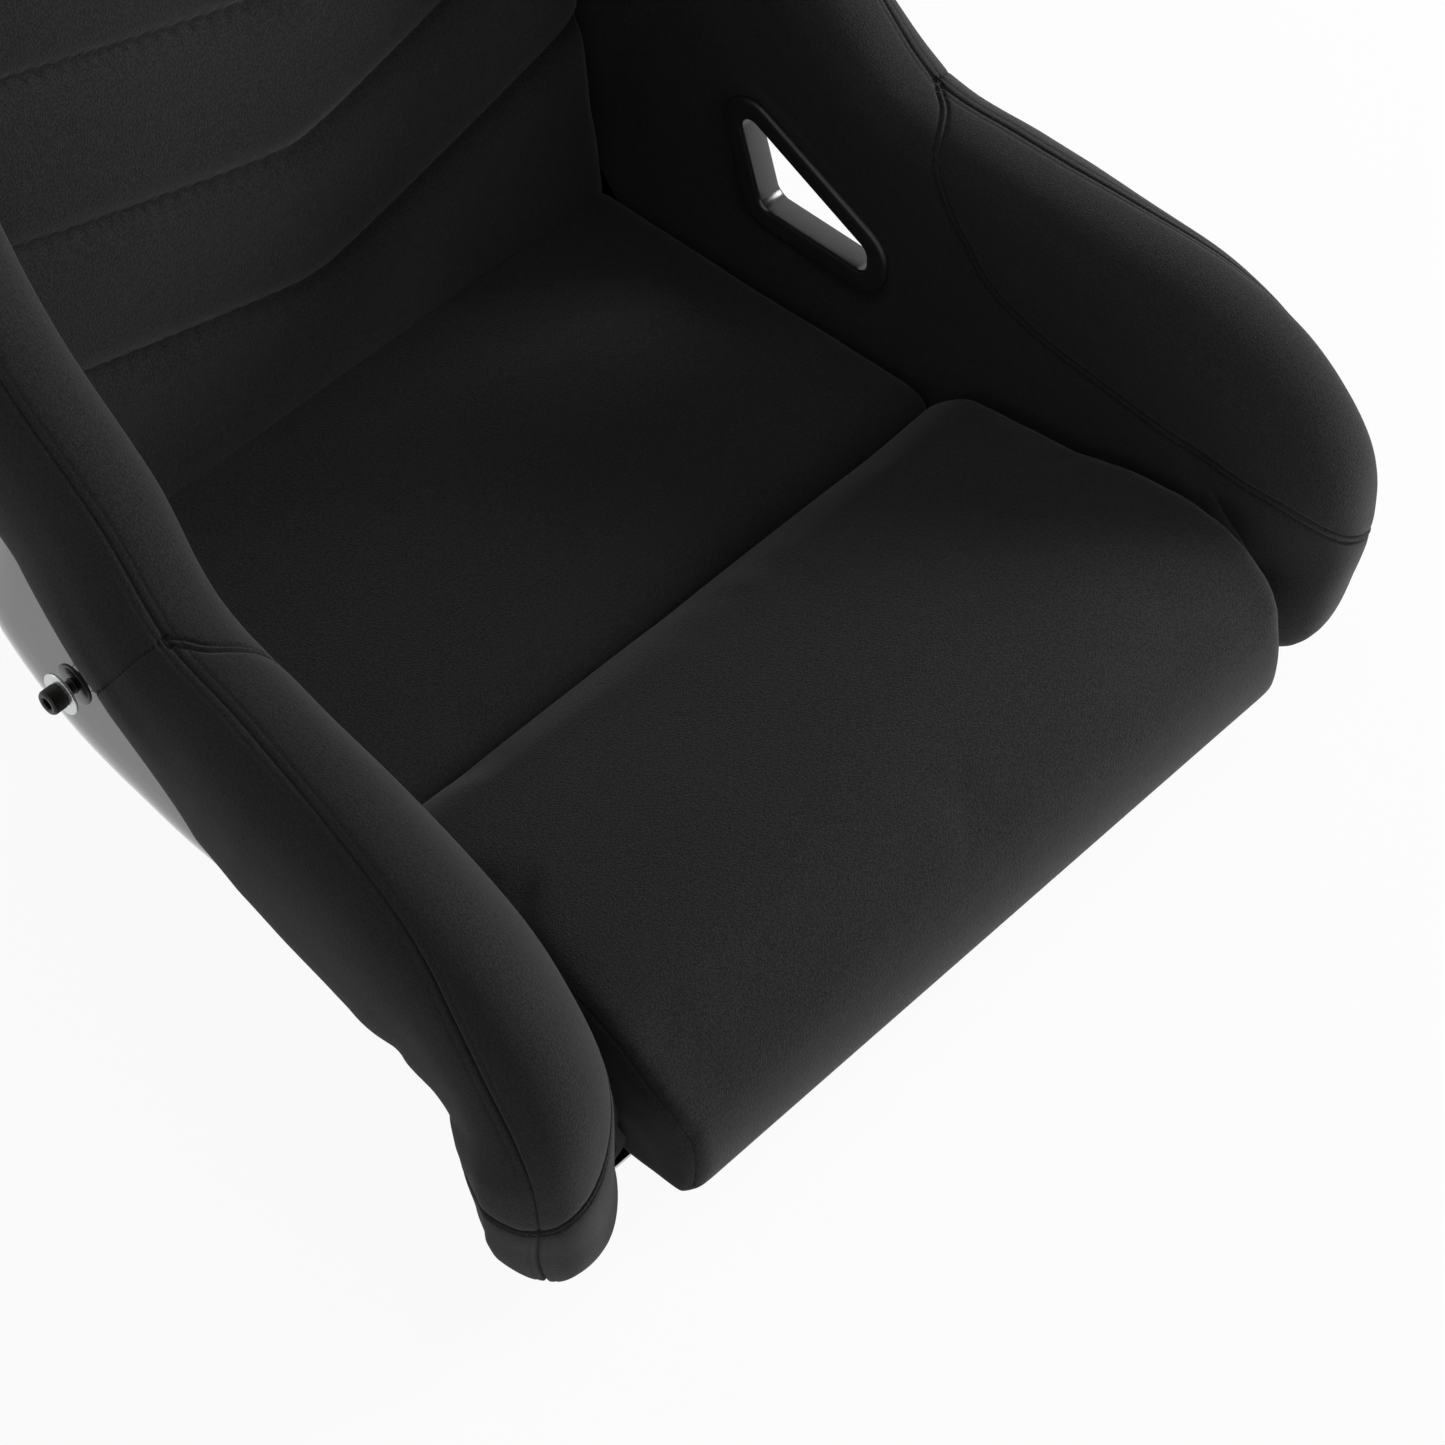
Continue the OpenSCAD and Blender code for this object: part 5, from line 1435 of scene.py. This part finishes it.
def head_cushion() -> Cushion:
    """The pad behind the driver's head."""
    low, high, t = 716.0, 838.0, 26.0
    zs = np.linspace(low, high, 24)

    def bulge(z: float) -> float:
        """Thickness share at height z."""
        return 1 - 0.25 * (abs(z - (low + high) / 2) / ((high - low) / 2)) ** 2

    front = [(FORM.back_y(z) - 14.5 - t * bulge(z), z) for z in zs]
    rear = [(FORM.back_y(z) - 15.6, z) for z in zs[::-1]]

    def width(y: float, z: float) -> float:
        """Half width, which narrows towards the top."""
        return float(np.interp(z, (716, 724, 804, 838), (66, 70, 70, 52)))

    return Cushion("head_cushion", "seat", ("head_pad",), front + rear, width, edge_r=7, crown=4,
                   crown_way=(-0.97, 0.2), cap=3.5, steps=40)


# ---- upper panel --------------------------------------------------------------------------------------


@dataclass
class UpperPanel:
    """The thin padded panel over the upper back, with its two belt openings."""

    form: SeatForm = FORM
    start: float = 17.1
    end: float = 20.95
    thick: float = 10.0
    wall_points: int = 15

    def section(self, s: float) -> np.ndarray:
        """One closed outline, front face first."""
        f = self.form
        rear = f.shell_t + f.gap
        return f.whole_ring(s, f.half_section(s, rear + self.thick, self.wall_points),
                            f.half_section(s, rear, self.wall_points))

    def build(self) -> bpy.types.Object:
        """Makes the panel and cuts its openings."""
        bm = loft([self.section(s) for s in np.linspace(self.start, self.end, 70)])
        obj = cover("upper_panel_cover", "liner_fabric", ("upper_panel",), 60).build(bm)
        cutters = bmesh.new()
        for side in Side:
            BeltFrame(side).pierce(cutters, 2.6, -12, 60)
        cut(obj, cutters)
        return obj


# ---- bezels and fixings ----------------------------------------------------------------------------------


@dataclass
class LapBezel:
    """The moulded frame of a lap belt opening: a flat flange and a sleeve through the side."""

    side: Side
    # Growth from the opening's edge, and place along X.
    section: tuple = (
        (12.6, 204.5), (12.6, 203.4), (12.2, 202.5), (11.3, 202.05), (9, 202), (3, 202), (1.6, 202.05),
        (0.7, 202.35), (0.2, 202.9), (0, 203.8), (0, 207), (0, 216.4), (0.3, 216.9), (1, 217), (3.2, 217),
        (4, 216.8), (4.1, 216.3), (3.7, 215.9), (2, 215.8), (2, 206), (2.3, 204.9), (3.2, 204.5),
    )

    def build(self) -> bpy.types.Object:
        """Makes the bezel."""
        bm = loft([np.array([(x, y, z) for y, z in rounded(grown(LAP_CORNERS, -g), 7 + g, 12)])
                   for g, x in self.section], endless=True)
        middles = np.array([f.calc_center_median() for f in bm.faces]) / MM
        near = polygon_distance(middles[:, 1:], rounded(LAP_CORNERS, 7, 12)) < 1.9
        for f, inner, x in zip(bm.faces, near, middles[:, 0]):
            f.material_index = 1 if inner and x > 202.3 else 0
        mirrored(bm, self.side)
        w = self.side.word
        obj = Piece(f"lap_frame_{w}", PLASTIC, "bezel", replaces=(f"lap_bezel_{w}",), sharp=50).build(bm)
        obj.data.materials.append(SATIN_PLASTIC.material())
        return obj


@dataclass
class ShoulderFrames:
    """The frames of the two shoulder belt openings, in front of the shell."""

    section: tuple = (
        (8, 15.4), (8, 16.6), (7.5, 17.5), (6.5, 17.9), (2, 17.9), (0.9, 17.6), (0.2, 16.9), (0, 16),
        (0, -0.4), (0.3, -0.9), (1.7, -0.9), (2, -0.4), (2, 14.6), (2.6, 15.4),
    )

    def build(self) -> bpy.types.Object:
        """Makes both frames as one piece."""
        bm = bmesh.new()
        for belt in map(BeltFrame, Side):
            rings = [np.array([belt.at(x, y, z) for x, y in belt.outline(g, 12)]) for g, z in self.section]
            part = loft(rings, endless=True)
            mesh = bpy.data.meshes.new("part")
            part.to_mesh(mesh)
            part.free()
            bm.from_mesh(mesh)
            bpy.data.meshes.remove(mesh)
        return Piece("shoulder_frames", PLASTIC, "bezel", replaces=("shoulder_bezels",), sharp=50).build(bm)


@dataclass
class SideBolt:
    """An M8 socket-head screw with a knurled head, its threaded shank and its two washers."""

    side: Side
    row: Row
    points: int = 96
    pitch: float = 1.25
    under_head: float = 13.7

    @cached_property
    def angles(self) -> np.ndarray:
        """The places of an outline's points round the axis."""
        return turn(self.points)

    def at(self, radii: float | np.ndarray, out: float) -> np.ndarray:
        """An outline around the bolt's axis at a distance out of the flank, for the right-hand side."""
        y, z = self.row.value + radii * np.cos(self.angles), BOLT_Z + radii * np.sin(self.angles)
        return np.column_stack([np.full(self.points, FORM.flank_x + out), y, z])

    def thread_rings(self) -> list[np.ndarray]:
        """Outlines along the shank, whose thread winds round it."""
        rings = [self.at(r, self.under_head - 20) for r in (0.4, 3.1)]
        for out in np.arange(self.under_head - 19.4, self.under_head - 1.2, self.pitch / 4):
            phase = (out / self.pitch - self.angles / (2 * math.pi)) % 1
            rings.append(self.at(3.92 - 0.42 * np.abs(2 * phase - 1), out))
        return rings

    def head_rings(self) -> list[np.ndarray]:
        """Outlines over the knurled head and down into its 6 mm socket."""
        knurl = 6.5 - 0.22 * np.abs(np.sin(24 * self.angles))
        hexagon = 3.0 / np.cos((self.angles + math.pi / 6) % (math.pi / 3) - math.pi / 6)
        section = (
            (3.9, -0.5), (4.2, 0.1), (6.1, 0.1), (6.4, 0.5), (knurl, 1.0), (knurl, 6.6), (6.35, 7.1),
            (5.7, 7.9), (5.3, 8.0), (3.95, 8.0), (np.minimum(hexagon * 1.06, 3.7), 7.6), (hexagon, 7.3),
            (hexagon, 3.6), (0.3, 2.9),
        )
        return [self.at(r, self.under_head + out) for r, out in section]

    def washer(self, start: float, thick: float, lip: float, outer: float = 11.25) -> bmesh.types.BMesh:
        """A washer's mesh, for the right-hand side.

        Args:
            start: Its inner face's distance from the flank, in millimetres.
            thick: Its thickness.
            lip: How far its outer edges are rounded.
            outer: Its outer radius.

        Returns:
            The mesh in metres.
        """
        end = start + thick
        inner = [(4.1, start + 0.2), (4.3, start)]
        rim = [(outer - lip, start), (outer - lip * 0.3, start + lip * 0.3), (outer, start + lip),
               (outer, end - lip), (outer - lip * 0.3, end - lip * 0.3), (outer - lip, end)]
        section = inner + rim + [(4.3, end), (4.1, end - 0.2)]
        return loft([self.at(r, out) for r, out in section], endless=True)

    def build(self) -> None:
        """Makes the screw and its washers."""
        tag = f"{self.row.word}_{self.side.word}"
        screw = loft(self.thread_rings() + self.head_rings())
        bright, black = self.washer(12.0, 1.6, 0.3), self.washer(3.5, 2.5, 0.7)
        for name, finish, slot, body, node, bm in (
            ("screw", BLACK_STEEL, "black_bolt", "bolt", "bolt", screw),
            ("bright_washer", ZINC, "bright_washer", "bolt", "flat_washer", bright),
            ("nylon_washer", SATIN_PLASTIC, "black_washer", "spacer", "black_washer", black),
        ):
            Piece(f"{name}_{tag}", finish, slot, body=f"{body}_{tag}", replaces=(f"{node}_{tag}",),
                  sharp=28).build(mirrored(bm, self.side))


# ---- studio ---------------------------------------------------------------------------------------------


def seen_rays(tree: bpy.types.NodeTree) -> bpy.types.Node:
    """A node that is 1 for camera, glossy and transmission rays, and 0 for the rest."""
    rays = add(tree, "ShaderNodeLightPath").outputs
    total = add(tree, "ShaderNodeMath", {"operation": "ADD", "use_clamp": True},
                {0: rays["Is Camera Ray"], 1: rays["Is Glossy Ray"]})
    return add(tree, "ShaderNodeMath", {"operation": "ADD", "use_clamp": True},
               {0: total.outputs[0], 1: rays["Is Transmission Ray"]})


@dataclass(frozen=True)
class StudioWhite(Finish):
    """Matte white backdrop paint that reads as plain white to the camera."""

    name: str = "studio_white"
    base: str = "#f4f4f4"
    glow: float = 0.94

    def shade(self, tree: bpy.types.NodeTree):
        """Mostly plain white for camera, glossy and transmission rays, and paint for the rest."""
        paint = add(tree, "ShaderNodeBsdfDiffuse", {"in:Color": colour(self.base)})
        white = add(tree, "ShaderNodeEmission", {"in:Strength": 1.0})
        share = add(tree, "ShaderNodeMath", {"operation": "MULTIPLY", "in:1": self.glow},
                    {0: seen_rays(tree).outputs[0]})
        return add(tree, "ShaderNodeMixShader", links={0: share.outputs[0], 1: paint.outputs[0],
                                                       2: white.outputs[0]})


@dataclass
class Studio:
    """Pale floor, soft lamps and the camera."""

    azimuth: float = -46.369
    elevation: float = 50.0
    lens: float = 104.55
    place: tuple = (-0.930, -0.970, 1.572)
    lamps: tuple = (
        ("right_softbox", (2.3, -0.9, 1.0), (0.0, 0.0, 0.15), 1.0, 64.0),
        ("front_softbox", (0.6, -2.3, 0.3), (0.0, -0.2, 0.1), 0.9, 10.0),
        ("top_softbox", (0.4, -0.2, 2.5), (0.0, -0.2, 0.1), 1.2, 8.0),
        ("left_softbox", (-2.2, 0.2, 0.5), (0.0, 0.0, 0.2), 1.4, 8.0),
        ("rear_softbox", (0.2, 2.4, 1.4), (0.0, 0.1, 0.4), 1.4, 8.0),
    )

    def build(self) -> None:
        """Makes the studio."""
        scene = bpy.context.scene
        scene.view_settings.view_transform = "Standard"
        camera = bpy.data.objects.new("camera", bpy.data.cameras.new("camera"))
        camera.data.lens = self.lens
        camera.data.clip_end = 30
        camera.location = self.place
        camera.rotation_euler = (math.radians(90 - self.elevation), 0, math.radians(self.azimuth))
        scene.collection.objects.link(camera)
        scene.camera = camera
        for name, place, target, size, power in self.lamps:
            lamp = bpy.data.objects.new(name, bpy.data.lights.new(name, "AREA"))
            lamp.data.size, lamp.data.energy = size, power
            lamp.location = place
            lamp.rotation_euler = (Vector(target) - Vector(place)).to_track_quat("-Z", "Y").to_euler()
            scene.collection.objects.link(lamp)
        self.world(scene)
        bm = bmesh.new()
        bmesh.ops.create_grid(bm, x_segments=1, y_segments=1, size=9)
        floor = stored(bm, "floor")
        floor.location.z = -0.0005
        floor.data.materials.append(StudioWhite().material())

    @staticmethod
    def world(scene: bpy.types.Scene) -> None:
        """White to the camera and in reflections, and a plain fill light otherwise."""
        world = bpy.data.worlds.new("studio")
        scene.world = world
        world.use_nodes = True
        tree = world.node_tree
        tree.nodes.clear()
        fill, white = (add(tree, "ShaderNodeBackground", {"in:Strength": strength, "in:Color": (1, 1, 1, 1)})
                       for strength in (0.08, 1.0))
        mix = add(tree, "ShaderNodeMixShader",
                  links={0: seen_rays(tree).outputs[0], 1: fill.outputs[0], 2: white.outputs[0]})
        add(tree, "ShaderNodeOutputWorld", links={"Surface": mix.outputs[0]})


def finish_kept_nodes() -> None:
    """Gives the CAD nodes that stay their finishes."""
    finishes = {
        Foam(): ("back_pad_core", "rear_pad_core", "thigh_pad_core"),
        TapeFibre(): ("back_pad_hooks", "back_loops", "rear_pad_hooks", "thigh_pad_hooks", "pan_loops"),
        PLASTIC: ("shoulder_rings",),
        BARE_STEEL: ("side_inserts",),
    }
    for finish, names in finishes.items():
        for name in names:
            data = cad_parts[name].data
            data.materials.clear()
            data.materials.append(finish.material())


def main() -> None:
    """Builds the seat's pieces in order and reports them."""
    logging.basicConfig(level=logging.INFO, format="%(message)s")
    Studio().build()
    for side in Side:
        SideCover(side).build()
        ShoulderCover(side).build()
        LapBezel(side).build()
        for row in Row:
            SideBolt(side, row).build()
    HeadCover().build()
    Shell().build()
    UpperPanel().build()
    ShoulderFrames().build()
    for make in (thigh_cushion, rear_cushion, back_cushion, head_cushion):
        make().build()
    finish_kept_nodes()


if __name__ == "__main__":
    main()
